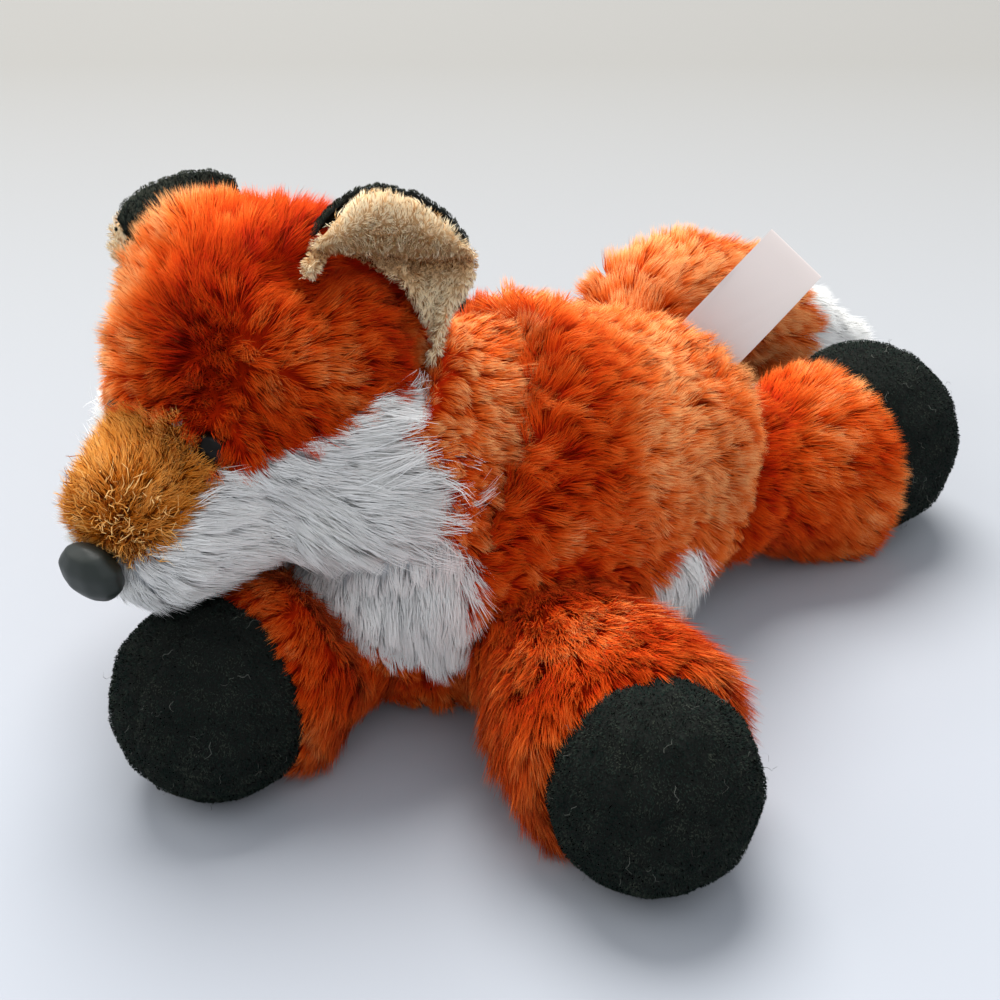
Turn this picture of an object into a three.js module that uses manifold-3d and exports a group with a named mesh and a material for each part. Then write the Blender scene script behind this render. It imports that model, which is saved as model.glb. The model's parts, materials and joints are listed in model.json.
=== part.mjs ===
// A plush fox that lies on its belly with its legs spread, in millimetres.
// +Z is up, the fox faces -Y and its left side is +X.
// The origin is the middle of the flat stretch of belly that it lies on.
// "Side" is measured towards its left, "ahead" towards -Y and "up" from the floor.

import * as THREE from 'three';
import { mergeVertices } from 'three/addons/utils/BufferGeometryUtils.js';
import Module from 'manifold-3d';

// Cloths, each with its backing and its standing pile
const pile = 7;
const face_pile = 4.5;
const paw_fleece = 3;
const ear_ply = 2.2;

// Gaps between pieces
const clear = 0.3;
const sweep_clear = 1.2;

// Trunk: three balls in a row, and the neck ball on top of the chest
const rump_side = 6;
const rump_behind = 21;
const rump_up = 35.5;
const rump_half_width = 38;
const rump_half_height = 38.5;
const withers_side = 1;
const withers_ahead = 2;
const withers_up = 43;
const withers_half_width = 36;
const withers_half_height = 44.5;
const chest_side = -8;
const chest_ahead = 24;
const chest_up = 35.5;
const chest_half_width = 34;
const chest_half_height = 38;
const neck_side = -12;
const neck_ahead = 33;
const neck_up = 62;
const neck_radius = 26;
const neck_root_radius = 28;

// White panel of the belly and the bib on the chest
const belly_panel_half_width = 60;
const belly_panel_half_length = 54;
const belly_panel_height = 16;
const bib_half_width = 24;
const bib_depth = 34;
const bib_height = 48;
const bib_ahead = 64;
const bib_up = 26;

// Pouch of plastic beans in the rump
const pouch_half_width = 22;
const pouch_half_length = 24;
const pouch_height = 15;
const pouch_behind = 14;

// Head ball, placed from the neck, and the jowls and muzzle, placed from the middle of the head
const head_from_neck_side = -21;
const head_from_neck_ahead = 12;
const head_from_neck_up = 15.5;
const head_side = neck_side + head_from_neck_side;
const head_ahead = neck_ahead + head_from_neck_ahead;
const head_up = neck_up + head_from_neck_up;
const head_radius = 35.5;
const head_half_height = 35;
const jowl_ahead = 2;
const jowl_drop = 17;
const jowl_half_width = 43;
const jowl_half_depth = 25;
const jowl_half_height = 19;
const muzzle_side = -1;
const muzzle_ahead = 36;
const muzzle_drop = 18.6;
const muzzle_half_width = 17;
const muzzle_half_height = 17.8;
const muzzle_root_ahead = 18;
const muzzle_root_drop = 16;
const muzzle_root_radius = 20;

// Seam lines of the face, from the middle of the head
const brow_ahead = 35;
const cheek_seam_rise = 1.3;
const cheek_seam_slope_share = 0.28;
const muzzle_seam_rise = 18;
const muzzle_seam_slope_share = 0.78;
const head_turn_right = 30;
const head_turn_left = 8;

// Nose and eyes: plastic buttons on posts, each held by a washer behind the cloth
const nose_half_width = 8;
const nose_half_height = 6.3;
const nose_half_depth = 4.6;
const nose_drop_share = 0.2;
const nose_proud = 0.5;
const eye_side = 12;
const eye_ahead = 31.5;
const eye_drop = 1;
const eye_radius = 4;
const eye_dome = 2.6;
const post_radius = 1.6;
const post_length = 12;
const washer_radius = 5;
const washer_thickness = 1.2;
const nose_washer_setback = 3;
const eye_washer_setback = 3.2;

// Ears: a cup of two plies on a straight base line across the side of the head
const ear_front_side = 16;
const ear_front_ahead = 8;
const ear_front_up = 28;
const ear_rear_side = 28.5;
const ear_rear_behind = 14;
const ear_rear_up = 8;
const ear_left_height = 21;
const ear_right_height = 14;
const ear_edge = 4;
const ear_sink = 1;
const ear_cup_share = 0.36;
const ear_face_side_share = 0.6;
const ear_face_ahead_share = 0.7;
const ear_face_up_share = 0.35;
const ear_peak_share = 1.25;
const ear_bulge_share = 0.22;
const ear_cup_turn_share = 1.2;
const ear_left_flop = 0;
const ear_right_flop = 46;
const ear_left_twist = 0;
const ear_right_twist = -30;
const ear_swing = 15;

// Legs: a root ball in the body, a fuller middle and a round foot
const front_foot_radius = 20.8;
const front_shin_radius = 20.5;
const front_root_radius = 15;
const front_root_up = 21;
const hind_foot_radius = 22.4;
const hind_shin_radius = 24.5;
const hind_root_radius = 17;
const hind_root_up = 25;
const floor_bite = 0.6;
const cuff_proud = 2.5;
const paw_start_share = 0.38;
const front_shin_share = 0.5;
const hind_shin_share = 0.6;
const leg_swing = 15;
const front_left_root_side = 22;
const front_left_root_ahead = 27;
const front_left_foot_side = 66;
const front_left_foot_ahead = 53.5;
const front_right_root_side = -15.5;
const front_right_root_ahead = 46;
const front_right_foot_side = -22;
const front_right_foot_ahead = 81;
const hind_left_root_side = 27;
const hind_left_root_behind = 48;
const hind_left_foot_side = 43;
const hind_left_foot_behind = 90;
const hind_right_root_side = -20;
const hind_right_root_behind = 36;
const hind_right_foot_side = -65;
const hind_right_foot_behind = 53;

// Tail: a narrow root, a full middle and a tapered tip that lies on the floor
const tail_root_side = -9;
const tail_root_behind = 56;
const tail_root_up = 46;
const tail_root_radius = 11;
const tail_rise_side = -15;
const tail_rise_behind = 75;
const tail_rise_up = 49;
const tail_rise_radius = 18.5;
const tail_bend_side = -12;
const tail_bend_behind = 103;
const tail_bend_up = 41;
const tail_bend_radius = 19;
const tail_fall_side = -4;
const tail_fall_behind = 130;
const tail_fall_up = 25;
const tail_fall_radius = 16;
const tail_tip_side = 6;
const tail_tip_behind = 151;
const tail_tip_radius = 11.5;
const tail_white_share = 0.45;
const tail_swing = 20;

// Sewn-in label: a satin ribbon folded double
const label_width = 16;
const label_length = 27;
const label_sewn_length = 8;
const label_thickness = 0.5;
const label_fold_gap = 0.5;
const label_side = 19.5;
const label_behind = 48;
const label_up = 61.5;
const label_run_shares = [0.355, 0.7, 0.617];
const label_width_shares = [0.84, 0.23, -0.488];

// Facets
const trunk_sides = 16;
const trunk_rings = 4;
const limb_sides = 12;
const limb_rings = 2;
const lining_sides = 8;
const ball_sides = 15;
const ball_rings = 8;
const small_sides = 10;
const joint_sides = 16;
const cap_rings = 3;
const ear_columns = 8;
const ear_rows = 4;
const sweep_steps = 2;

// Size of the blocks that cut, past every outline
const cutter = 400;

const wasm = await Module();
wasm.setup();

const up_axis = new THREE.Vector3(0, 0, 1);
const back_axis = new THREE.Vector3(0, 1, 0);
const full_turn = 2 * Math.PI;

// Solids from three.js geometry, and back

function solidOf(geometry) {
  const shape = geometry.clone();
  shape.deleteAttribute('normal');
  shape.deleteAttribute('uv');
  const merged = mergeVertices(shape);
  return new wasm.Manifold(new wasm.Mesh({
    numProp: 3,
    vertProperties: new Float32Array(merged.attributes.position.array),
    triVerts: new Uint32Array(merged.index.array),
  }));
}

function meshOf(name, solid, finish, origin) {
  const { vertProperties, triVerts } = solid.getMesh();
  const geometry = new THREE.BufferGeometry();
  geometry.setAttribute('position', new THREE.BufferAttribute(new Float32Array(vertProperties), 3));
  geometry.setIndex(new THREE.BufferAttribute(new Uint32Array(triVerts), 1));
  geometry.translate(-origin.x, -origin.y, -origin.z);
  geometry.computeVertexNormals();
  const mesh = new THREE.Mesh(geometry, new THREE.MeshStandardMaterial(finish));
  mesh.name = name;
  return mesh;
}

function union(solids) {
  return solids.reduce((whole, next) => whole.add(next));
}

function minus(solid, cuts) {
  return cuts.reduce((rest, cut) => rest.subtract(cut), solid);
}

function largestPiece(solid) {
  const pieces = solid.decompose();
  return pieces.reduce((best, next) => (next.volume() > best.volume() ? next : best));
}

function moved(solid, matrix) {
  return solid.transform(matrix.elements);
}

function turnAbout(pivot, axis, degrees) {
  const matrix = new THREE.Matrix4().makeTranslation(pivot);
  matrix.multiply(new THREE.Matrix4().makeRotationAxis(axis, THREE.MathUtils.degToRad(degrees)));
  return matrix.multiply(new THREE.Matrix4().makeTranslation(pivot.clone().negate()));
}

// Every place that a solid passes as it turns from one angle to another
function sweep(solid, pivot, axis, from, to) {
  const places = [];
  for (let step = 0; step <= sweep_steps; step += 1) {
    const degrees = from + ((to - from) * step) / sweep_steps;
    places.push(moved(solid, turnAbout(pivot, axis, degrees)));
  }
  return union(places);
}

// Balls, blocks and round bars

function ellipsoid(centre, half_width, half_depth, half_height, sides = ball_sides) {
  const geometry = new THREE.SphereGeometry(1, sides, Math.round((sides * ball_rings) / ball_sides));
  geometry.rotateX(Math.PI / 2);
  geometry.scale(half_width, half_depth, half_height);
  geometry.translate(centre.x, centre.y, centre.z);
  return solidOf(geometry);
}

function ball(centre, radius, sides) {
  return ellipsoid(centre, radius, radius, radius, sides);
}

// A block that holds everything on the far side of a plane
function beyond(point, direction) {
  const geometry = new THREE.BoxGeometry(cutter, cutter, cutter);
  geometry.translate(0, 0, cutter / 2);
  const turn = new THREE.Quaternion().setFromUnitVectors(up_axis, direction.clone().normalize());
  geometry.applyQuaternion(turn);
  geometry.translate(point.x, point.y, point.z);
  return solidOf(geometry);
}

function bar(start, direction, length, radius) {
  const geometry = new THREE.CylinderGeometry(radius, radius, length, small_sides);
  geometry.translate(0, length / 2, 0);
  const turn = new THREE.Quaternion().setFromUnitVectors(back_axis, direction);
  geometry.applyQuaternion(turn);
  geometry.translate(start.x, start.y, start.z);
  return solidOf(geometry);
}

const below_floor = beyond(new THREE.Vector3(), up_axis.clone().negate());

// A stuffed form: one smooth skin over a row of balls, round at both ends.
// Its rings lie across `along`, or across the row itself where none is given.
// `grow` swells or shrinks it evenly.
function stuffedForm(balls, grow, sides, rings, along) {
  const row = new THREE.CatmullRomCurve3(balls.map((stop) => stop.at));
  const girths = balls.map((stop) => new THREE.Vector3(stop.wide, stop.tall, 0));
  const girth = new THREE.CatmullRomCurve3(girths);
  const vertices = [];
  const frameAt = (share) => {
    const forward = along ? along.clone().normalize() : row.getTangent(share);
    const upright = Math.abs(forward.dot(up_axis)) < Math.SQRT1_2 ? up_axis : back_axis;
    const side = upright.clone().cross(forward).normalize();
    return { centre: row.getPoint(share), forward, side, rise: forward.clone().cross(side) };
  };
  const addRing = (share, slide, scale) => {
    const { centre, forward, side, rise } = frameAt(share);
    const size = girth.getPoint(share);
    const wide = size.x + grow;
    const tall = size.y + grow;
    centre.addScaledVector(forward, (slide * (wide + tall)) / 2);
    if (scale === 0) {
      vertices.push(centre);
      return;
    }
    for (let spoke = 0; spoke < sides; spoke += 1) {
      const angle = (full_turn * spoke) / sides;
      const point = centre.clone().addScaledVector(side, wide * scale * Math.cos(angle));
      vertices.push(point.addScaledVector(rise, tall * scale * Math.sin(angle)));
    }
  };
  for (let step = 0; step < cap_rings; step += 1) {
    const angle = (Math.PI / 2) * (step / cap_rings);
    addRing(0, -Math.cos(angle), Math.sin(angle));
  }
  for (let step = 0; step <= rings; step += 1) {
    addRing(step / rings, 0, 1);
  }
  for (let step = cap_rings - 1; step >= 0; step -= 1) {
    const angle = (Math.PI / 2) * (step / cap_rings);
    addRing(1, Math.cos(angle), Math.sin(angle));
  }
  return solidOf(skinOver(vertices, sides));
}

// Triangles over rings of points, with a single point at each end
function skinOver(vertices, sides) {
  const faces = [];
  const last = vertices.length - 1;
  const ring_count = (last - 1) / sides;
  const at = (ring, spoke) => 1 + ring * sides + (spoke % sides);
  for (let spoke = 0; spoke < sides; spoke += 1) {
    faces.push(0, at(0, spoke + 1), at(0, spoke));
    for (let ring = 0; ring < ring_count - 1; ring += 1) {
      faces.push(at(ring, spoke), at(ring, spoke + 1), at(ring + 1, spoke));
      faces.push(at(ring, spoke + 1), at(ring + 1, spoke + 1), at(ring + 1, spoke));
    }
    faces.push(at(ring_count - 1, spoke), at(ring_count - 1, spoke + 1), last);
  }
  const geometry = new THREE.BufferGeometry().setFromPoints(vertices);
  geometry.setIndex(faces);
  return geometry;
}

// Places

const rump_middle = new THREE.Vector3(rump_side, rump_behind, rump_up);
const chest_middle = new THREE.Vector3(chest_side, -chest_ahead, chest_up);
const withers_middle = new THREE.Vector3(withers_side, -withers_ahead, withers_up);
const neck_middle = new THREE.Vector3(neck_side, -neck_ahead, neck_up);
const head_middle = new THREE.Vector3(head_side, -head_ahead, head_up);

// A place on the head, given from the middle of the head
function onHead(side, ahead, up) {
  return new THREE.Vector3(head_side + side, -head_ahead - ahead, head_up + up);
}

// Body

function trunkForm(grow, sides = trunk_sides) {
  const balls = [
    { at: rump_middle, wide: rump_half_width, tall: rump_half_height },
    { at: withers_middle, wide: withers_half_width, tall: withers_half_height },
    { at: chest_middle, wide: chest_half_width, tall: chest_half_height },
  ];
  const along = chest_middle.clone().sub(rump_middle).setZ(0);
  return stuffedForm(balls, grow, sides, trunk_rings, along);
}

function neckForm(grow, sides = ball_sides) {
  const balls = [
    { at: chest_middle, wide: neck_root_radius, tall: neck_root_radius },
    { at: neck_middle, wide: neck_radius, tall: neck_radius },
  ];
  return stuffedForm(balls, grow, sides, limb_rings, up_axis);
}

// The body as far as a depth `grow` over or under its skin, cut flat where it lies
function bodyForm(grow, sides) {
  const form = trunkForm(grow, sides).add(neckForm(grow, sides));
  const floor_level = new THREE.Vector3(0, 0, Math.max(0, -grow));
  return form.subtract(beyond(floor_level, up_axis.clone().negate()));
}

// Region of the white cloth: a low dish under the belly and a bib up the chest
function whiteRegion(grow) {
  const belly = ellipsoid(
    new THREE.Vector3(rump_side, -withers_ahead, 0),
    belly_panel_half_width + grow,
    belly_panel_half_length + grow,
    belly_panel_height + grow,
  );
  const bib = ellipsoid(
    new THREE.Vector3(chest_side, -bib_ahead, bib_up),
    bib_half_width + grow,
    bib_depth + grow,
    bib_height + grow,
  );
  return belly.add(bib);
}

function pouchForm(grow) {
  const centre = new THREE.Vector3(rump_side, pouch_behind, pile + clear);
  return ellipsoid(centre, pouch_half_width + grow, pouch_half_length + grow, pouch_height + grow, small_sides);
}

// Head

const muzzle_middle = onHead(muzzle_side, muzzle_ahead, -muzzle_drop);
const muzzle_root = onHead(0, muzzle_root_ahead, -muzzle_root_drop);

function crownBall(grow, sides) {
  return ellipsoid(head_middle, head_radius + grow, head_radius + grow, head_half_height + grow, sides);
}

function jowlForm(grow, sides) {
  const centre = onHead(0, jowl_ahead, -jowl_drop);
  return ellipsoid(centre, jowl_half_width + grow, jowl_half_depth + grow, jowl_half_height + grow, sides);
}

function muzzleForm(grow, sides) {
  const balls = [
    { at: muzzle_root, wide: muzzle_root_radius, tall: muzzle_root_radius },
    { at: muzzle_middle, wide: muzzle_half_width, tall: muzzle_half_height },
  ];
  return stuffedForm(balls, grow, sides, limb_rings, back_axis.clone().negate());
}

function headForm(grow, muzzle_grow, sides = ball_sides) {
  return union([crownBall(grow, sides), jowlForm(grow, sides), muzzleForm(muzzle_grow, sides)]);
}

// The cheek seam runs level round the head and the muzzle seam falls to the nose.
// White cloth lies under both. `gap` moves the seams down or up.
function underSeams(gap) {
  const cheek_seam = onHead(0, 0, cheek_seam_rise + gap);
  const cheek_side_down = new THREE.Vector3(0, cheek_seam_slope_share, -1);
  const muzzle_seam = onHead(0, 0, muzzle_seam_rise + gap);
  const muzzle_side_down = new THREE.Vector3(0, muzzle_seam_slope_share, -1);
  return beyond(cheek_seam, cheek_side_down).intersect(beyond(muzzle_seam, muzzle_side_down));
}

// Buttons: a dome on a post, with a washer behind the cloth

const nose_out = new THREE.Vector3(0, -1, -nose_drop_share).normalize();
const nose_seat = muzzle_middle.clone().addScaledVector(nose_out, muzzle_half_width + nose_proud);
const eyes = [1, -1].map((hand) => {
  const seat = onHead(hand * eye_side, eye_ahead, -eye_drop);
  return { hand, seat, out: seat.clone().sub(head_middle).normalize() };
});

function turned(solid, out, seat) {
  const turn = new THREE.Quaternion().setFromUnitVectors(back_axis.clone().negate(), out);
  const matrix = new THREE.Matrix4().compose(seat, turn, new THREE.Vector3(1, 1, 1));
  return moved(solid, matrix);
}

function buttonForm(seat, out, half_width, half_height, half_depth, grow) {
  const dome = ellipsoid(
    new THREE.Vector3(),
    half_width + grow,
    half_depth + grow,
    half_height + grow,
    small_sides,
  );
  const post = bar(new THREE.Vector3(), back_axis, post_length + grow, post_radius + grow);
  return turned(dome.add(post), out, seat);
}

// Room in front of a sunk button, so that its dome shows
function openingOver(seat, out, radius) {
  return bar(seat, out, pile, radius);
}

function washerForm(seat, out, depth) {
  const start = seat.clone().addScaledVector(out, -depth);
  const inward = out.clone().negate();
  const disc = bar(start, inward, washer_thickness, washer_radius);
  const bore_start = start.clone().addScaledVector(out, clear);
  return disc.subtract(bar(bore_start, inward, washer_thickness + 2 * clear, post_radius + clear));
}

// Pocket in the stuffing for a washer and the end of its post
function pocketForm(seat, out, depth, setback) {
  const mouth = seat.clone().addScaledVector(out, setback - depth);
  const room = post_length - depth + setback + clear;
  return bar(mouth, out.clone().negate(), room, washer_radius + clear);
}

// Ears

// Base line, facing and hinge of one ear; hand is 1 on the left and -1 on the right
function earFrame(hand, height, flop, twist) {
  const front = onHead(hand * ear_front_side, ear_front_ahead, ear_front_up);
  const rear = onHead(hand * ear_rear_side, -ear_rear_behind, ear_rear_up);
  const base = rear.clone().sub(front);
  const across = base.clone().normalize();
  const outward = new THREE.Vector3(hand * ear_face_side_share, -ear_face_ahead_share, ear_face_up_share);
  const facing = outward.addScaledVector(across, -outward.dot(across)).normalize();
  const rise = across.clone().cross(facing).multiplyScalar(-hand);
  if (rise.z < 0) {
    rise.negate();
  }
  const lean = new THREE.Quaternion().setFromAxisAngle(across, hand * THREE.MathUtils.degToRad(flop));
  facing.applyQuaternion(lean);
  rise.applyQuaternion(lean);
  const middle = front.add(rear).divideScalar(2);
  return { middle, across, facing, rise, height, twist: THREE.MathUtils.degToRad(twist), width: base.length() };
}

// A point of the ear's middle sheet: column runs along the base, row from base to rim
function earPoint(frame, column, row) {
  const angle = Math.PI * column ** ear_peak_share;
  const arch = Math.sin(angle);
  const across = -(frame.width / 2) * Math.cos(angle) * (1 + ear_bulge_share * row * arch);
  const rise = row * (ear_edge + frame.height * Math.sqrt(arch)) - ear_sink;
  const hollow = -ear_cup_share * frame.height * arch * Math.sin(Math.PI * ear_cup_turn_share * row);
  const turn = frame.twist * row;
  const along = across * Math.cos(turn) - hollow * Math.sin(turn);
  const deep = across * Math.sin(turn) + hollow * Math.cos(turn);
  const point = frame.middle.clone().addScaledVector(frame.across, along);
  return point.addScaledVector(frame.rise, rise).addScaledVector(frame.facing, deep);
}

// One ply of the ear: the sheet thickened from one depth to another
function earPly(frame, near, far) {
  const tiny_share = 0.01;
  const layers = [near, far].map((depth) => {
    const grid = [];
    for (let row = 0; row <= ear_rows; row += 1) {
      for (let column = 0; column <= ear_columns; column += 1) {
        const u = column / ear_columns;
        const v = row / ear_rows;
        const u_low = Math.max(0, u - tiny_share);
        const u_high = Math.min(1, u + tiny_share);
        const v_low = Math.max(0, v - tiny_share);
        const v_high = Math.min(1, v + tiny_share);
        const run = earPoint(frame, u_high, v).sub(earPoint(frame, u_low, v));
        const climb = earPoint(frame, u, v_high).sub(earPoint(frame, u, v_low));
        const normal = run.cross(climb).normalize();
        if (normal.dot(frame.facing) < 0) {
          normal.negate();
        }
        const arch = Math.sin(Math.PI * u);
        normal.multiplyScalar(arch).addScaledVector(frame.facing, 1 - arch).normalize();
        grid.push(earPoint(frame, u, v).addScaledVector(normal, depth));
      }
    }
    return grid;
  });
  const stride = ear_columns + 1;
  const count = layers[0].length;
  const faces = [];
  const quad = (a, b, c, d) => faces.push(a, b, c, a, c, d);
  for (let row = 0; row < ear_rows; row += 1) {
    for (let column = 0; column < ear_columns; column += 1) {
      const corner = row * stride + column;
      quad(corner, corner + stride, corner + stride + 1, corner + 1);
      quad(count + corner, count + corner + 1, count + corner + stride + 1, count + corner + stride);
    }
  }
  for (let column = 0; column < ear_columns; column += 1) {
    const top = ear_rows * stride + column;
    quad(column, column + 1, count + column + 1, count + column);
    quad(top, count + top, count + top + 1, top + 1);
  }
  for (let row = 0; row < ear_rows; row += 1) {
    const first = row * stride;
    const final = first + ear_columns;
    quad(first, count + first, count + first + stride, first + stride);
    quad(final, final + stride, count + final + stride, count + final);
  }
  const geometry = new THREE.BufferGeometry().setFromPoints(layers.flat());
  geometry.setIndex(faces);
  if (signedVolume(geometry) < 0) {
    geometry.setIndex(faces.reverse());
  }
  return solidOf(geometry);
}

function signedVolume(geometry) {
  const place = geometry.attributes.position;
  const index = geometry.index.array;
  const [a, b, c] = [new THREE.Vector3(), new THREE.Vector3(), new THREE.Vector3()];
  let sum = 0;
  for (let corner = 0; corner < index.length; corner += 3) {
    a.fromBufferAttribute(place, index[corner]);
    b.fromBufferAttribute(place, index[corner + 1]);
    c.fromBufferAttribute(place, index[corner + 2]);
    sum += a.dot(b.cross(c));
  }
  return sum;
}

// Legs

function legPlan(name, root_side, root_y, foot_side, foot_y, end) {
  const root = new THREE.Vector3(root_side, root_y, end.root_up);
  const foot = new THREE.Vector3(foot_side, foot_y, end.foot_radius - floor_bite);
  const along = foot.clone().sub(root).setZ(0).normalize();
  const shin = root.clone().lerp(foot, end.shin_share);
  shin.z = Math.max(shin.z, end.shin_radius - floor_bite);
  const cuff = foot.clone().addScaledVector(along, -paw_start_share * end.foot_radius);
  return { name, root, foot, shin, cuff, along, ...end };
}

const front_end = {
  root_up: front_root_up,
  root_radius: front_root_radius,
  shin_radius: front_shin_radius,
  shin_share: front_shin_share,
  foot_radius: front_foot_radius,
};
const hind_end = {
  root_up: hind_root_up,
  root_radius: hind_root_radius,
  shin_radius: hind_shin_radius,
  shin_share: hind_shin_share,
  foot_radius: hind_foot_radius,
};
const legs = [
  legPlan('front_left', front_left_root_side, -front_left_root_ahead,
    front_left_foot_side, -front_left_foot_ahead, front_end),
  legPlan('front_right', front_right_root_side, -front_right_root_ahead,
    front_right_foot_side, -front_right_foot_ahead, front_end),
  legPlan('hind_left', hind_left_root_side, hind_left_root_behind,
    hind_left_foot_side, hind_left_foot_behind, hind_end),
  legPlan('hind_right', hind_right_root_side, hind_right_root_behind,
    hind_right_foot_side, hind_right_foot_behind, hind_end),
];

function sleeveForm(leg, grow, sides = limb_sides) {
  const cuff_radius = leg.foot_radius * Math.sqrt(1 - paw_start_share ** 2) + cuff_proud;
  const balls = [
    { at: leg.root, wide: leg.root_radius, tall: leg.root_radius },
    { at: leg.shin, wide: leg.shin_radius, tall: leg.shin_radius },
    { at: leg.cuff, wide: cuff_radius, tall: cuff_radius },
  ];
  return stuffedForm(balls, grow, sides, limb_rings, leg.along);
}

function footForm(leg, grow, sides = limb_sides) {
  return ball(leg.foot, leg.foot_radius + grow, sides);
}

// Tail

const tail_root = new THREE.Vector3(tail_root_side, tail_root_behind, tail_root_up);
const tail_fall = new THREE.Vector3(tail_fall_side, tail_fall_behind, tail_fall_up);
const tail_tip = new THREE.Vector3(tail_tip_side, tail_tip_behind, tail_tip_radius - floor_bite);

function tailForm(grow, sides = limb_sides) {
  const balls = [
    { at: tail_root, wide: tail_root_radius, tall: tail_root_radius },
    {
      at: new THREE.Vector3(tail_rise_side, tail_rise_behind, tail_rise_up),
      wide: tail_rise_radius,
      tall: tail_rise_radius,
    },
    {
      at: new THREE.Vector3(tail_bend_side, tail_bend_behind, tail_bend_up),
      wide: tail_bend_radius,
      tall: tail_bend_radius,
    },
    { at: tail_fall, wide: tail_fall_radius, tall: tail_fall_radius },
    { at: tail_tip, wide: tail_tip_radius, tall: tail_tip_radius },
  ];
  return stuffedForm(balls, grow, sides, 2 * limb_rings + 1);
}

// Label

function labelForm() {
  const half = label_fold_gap / 2 + label_thickness;
  const outline = new THREE.Shape();
  outline.moveTo(-label_sewn_length, -half);
  outline.lineTo(label_length, -half);
  outline.absarc(label_length, 0, half, -Math.PI / 2, Math.PI / 2, false);
  outline.lineTo(-label_sewn_length, half);
  outline.lineTo(-label_sewn_length, label_fold_gap / 2);
  outline.lineTo(label_length, label_fold_gap / 2);
  outline.absarc(label_length, 0, label_fold_gap / 2, Math.PI / 2, -Math.PI / 2, true);
  outline.lineTo(-label_sewn_length, -label_fold_gap / 2);
  const geometry = new THREE.ExtrudeGeometry(outline, {
    depth: label_width,
    bevelEnabled: false,
    curveSegments: cap_rings,
  });
  geometry.translate(0, 0, -label_width / 2);
  const run = new THREE.Vector3(...label_run_shares).normalize();
  const across = new THREE.Vector3(...label_width_shares);
  across.addScaledVector(run, -across.dot(run)).normalize();
  const face = across.clone().cross(run);
  geometry.applyMatrix4(new THREE.Matrix4().makeBasis(run, face, across));
  geometry.translate(label_side, label_behind, label_up);
  return solidOf(geometry);
}

// Finishes

const orange_plush = { color: 0xc84e1c, roughness: 0.95, metalness: 0 };
const white_plush = { color: 0xdfe3e6, roughness: 0.95, metalness: 0 };
const tan_plush = { color: 0xb0713a, roughness: 0.95, metalness: 0 };
const black_fleece = { color: 0x20231f, roughness: 0.98, metalness: 0 };
const cream_fleece = { color: 0xe1c8a5, roughness: 0.95, metalness: 0 };
const stuffing = { color: 0xf2f2ee, roughness: 1, metalness: 0 };
const bean_bag = { color: 0xcfc8b8, roughness: 0.9, metalness: 0 };
const nose_plastic = { color: 0x2d3734, roughness: 0.45, metalness: 0 };
const eye_plastic = { color: 0x120c08, roughness: 0.1, metalness: 0 };
const washer_plastic = { color: 0xe6e6e2, roughness: 0.6, metalness: 0 };
const satin = { color: 0xf0f0ee, roughness: 0.4, metalness: 0 };

// Assembly

const fox = new THREE.Group();

function addPieces(origin, pieces) {
  const group = new THREE.Group();
  group.position.copy(origin);
  pieces.forEach(([name, solid, finish]) => group.add(meshOf(name, solid, finish, origin)));
  fox.add(group);
}

// The room that the neck leaves for the head, which turns about an upright axis
const ear_frames = {
  left: earFrame(1, ear_left_height, ear_left_flop, ear_left_twist),
  right: earFrame(-1, ear_right_height, ear_right_flop, ear_right_twist),
};
const ear_depth = ear_ply + clear / 2;

function headTurns(solid) {
  return sweep(solid, head_middle, up_axis, -head_turn_right, head_turn_left);
}

const head_room = union([
  crownBall(sweep_clear, ball_sides),
  headTurns(jowlForm(sweep_clear, ball_sides)),
  headTurns(muzzleForm(sweep_clear, lining_sides)),
  headTurns(earPly(ear_frames.left, -ear_depth - sweep_clear, ear_depth + sweep_clear)),
]);

// The hollow that a root ball turns in, about the upright axis
function socket(place, radius) {
  return ball(place, (radius + clear) / Math.cos(Math.PI / joint_sides), joint_sides);
}

const body_sockets = [
  head_room,
  ...legs.map((leg) => socket(leg.root, leg.root_radius)),
  socket(tail_root, tail_root_radius),
];

// What a limb that swings about its root has to stay clear of
const body_outline = bodyForm(sweep_clear);

function clearOfBody(limb, root, root_radius, swing) {
  const outside = limb.subtract(sweep(body_outline, root, up_axis, -swing, swing));
  return outside.add(ball(root, root_radius, joint_sides));
}

// Body pieces
const body_shell = bodyForm(0).subtract(bodyForm(-pile, lining_sides));
const body_back = minus(body_shell.subtract(whiteRegion(clear / 2)), body_sockets);
const body_belly = minus(body_shell.intersect(whiteRegion(-clear / 2)), body_sockets);
const body_core = bodyForm(-pile - clear, lining_sides);
const body_filling = minus(body_core.subtract(pouchForm(clear)), body_sockets);
const bean_pouch = body_core.intersect(pouchForm(0));
addPieces(new THREE.Vector3(), [
  ['body_back', largestPiece(body_back), orange_plush],
  ['body_belly', largestPiece(body_belly), white_plush],
  ['body_filling', largestPiece(body_filling), stuffing],
  ['bean_pouch', bean_pouch, bean_bag],
  ['label', largestPiece(labelForm().subtract(bodyForm(clear))), satin],
]);

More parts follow.
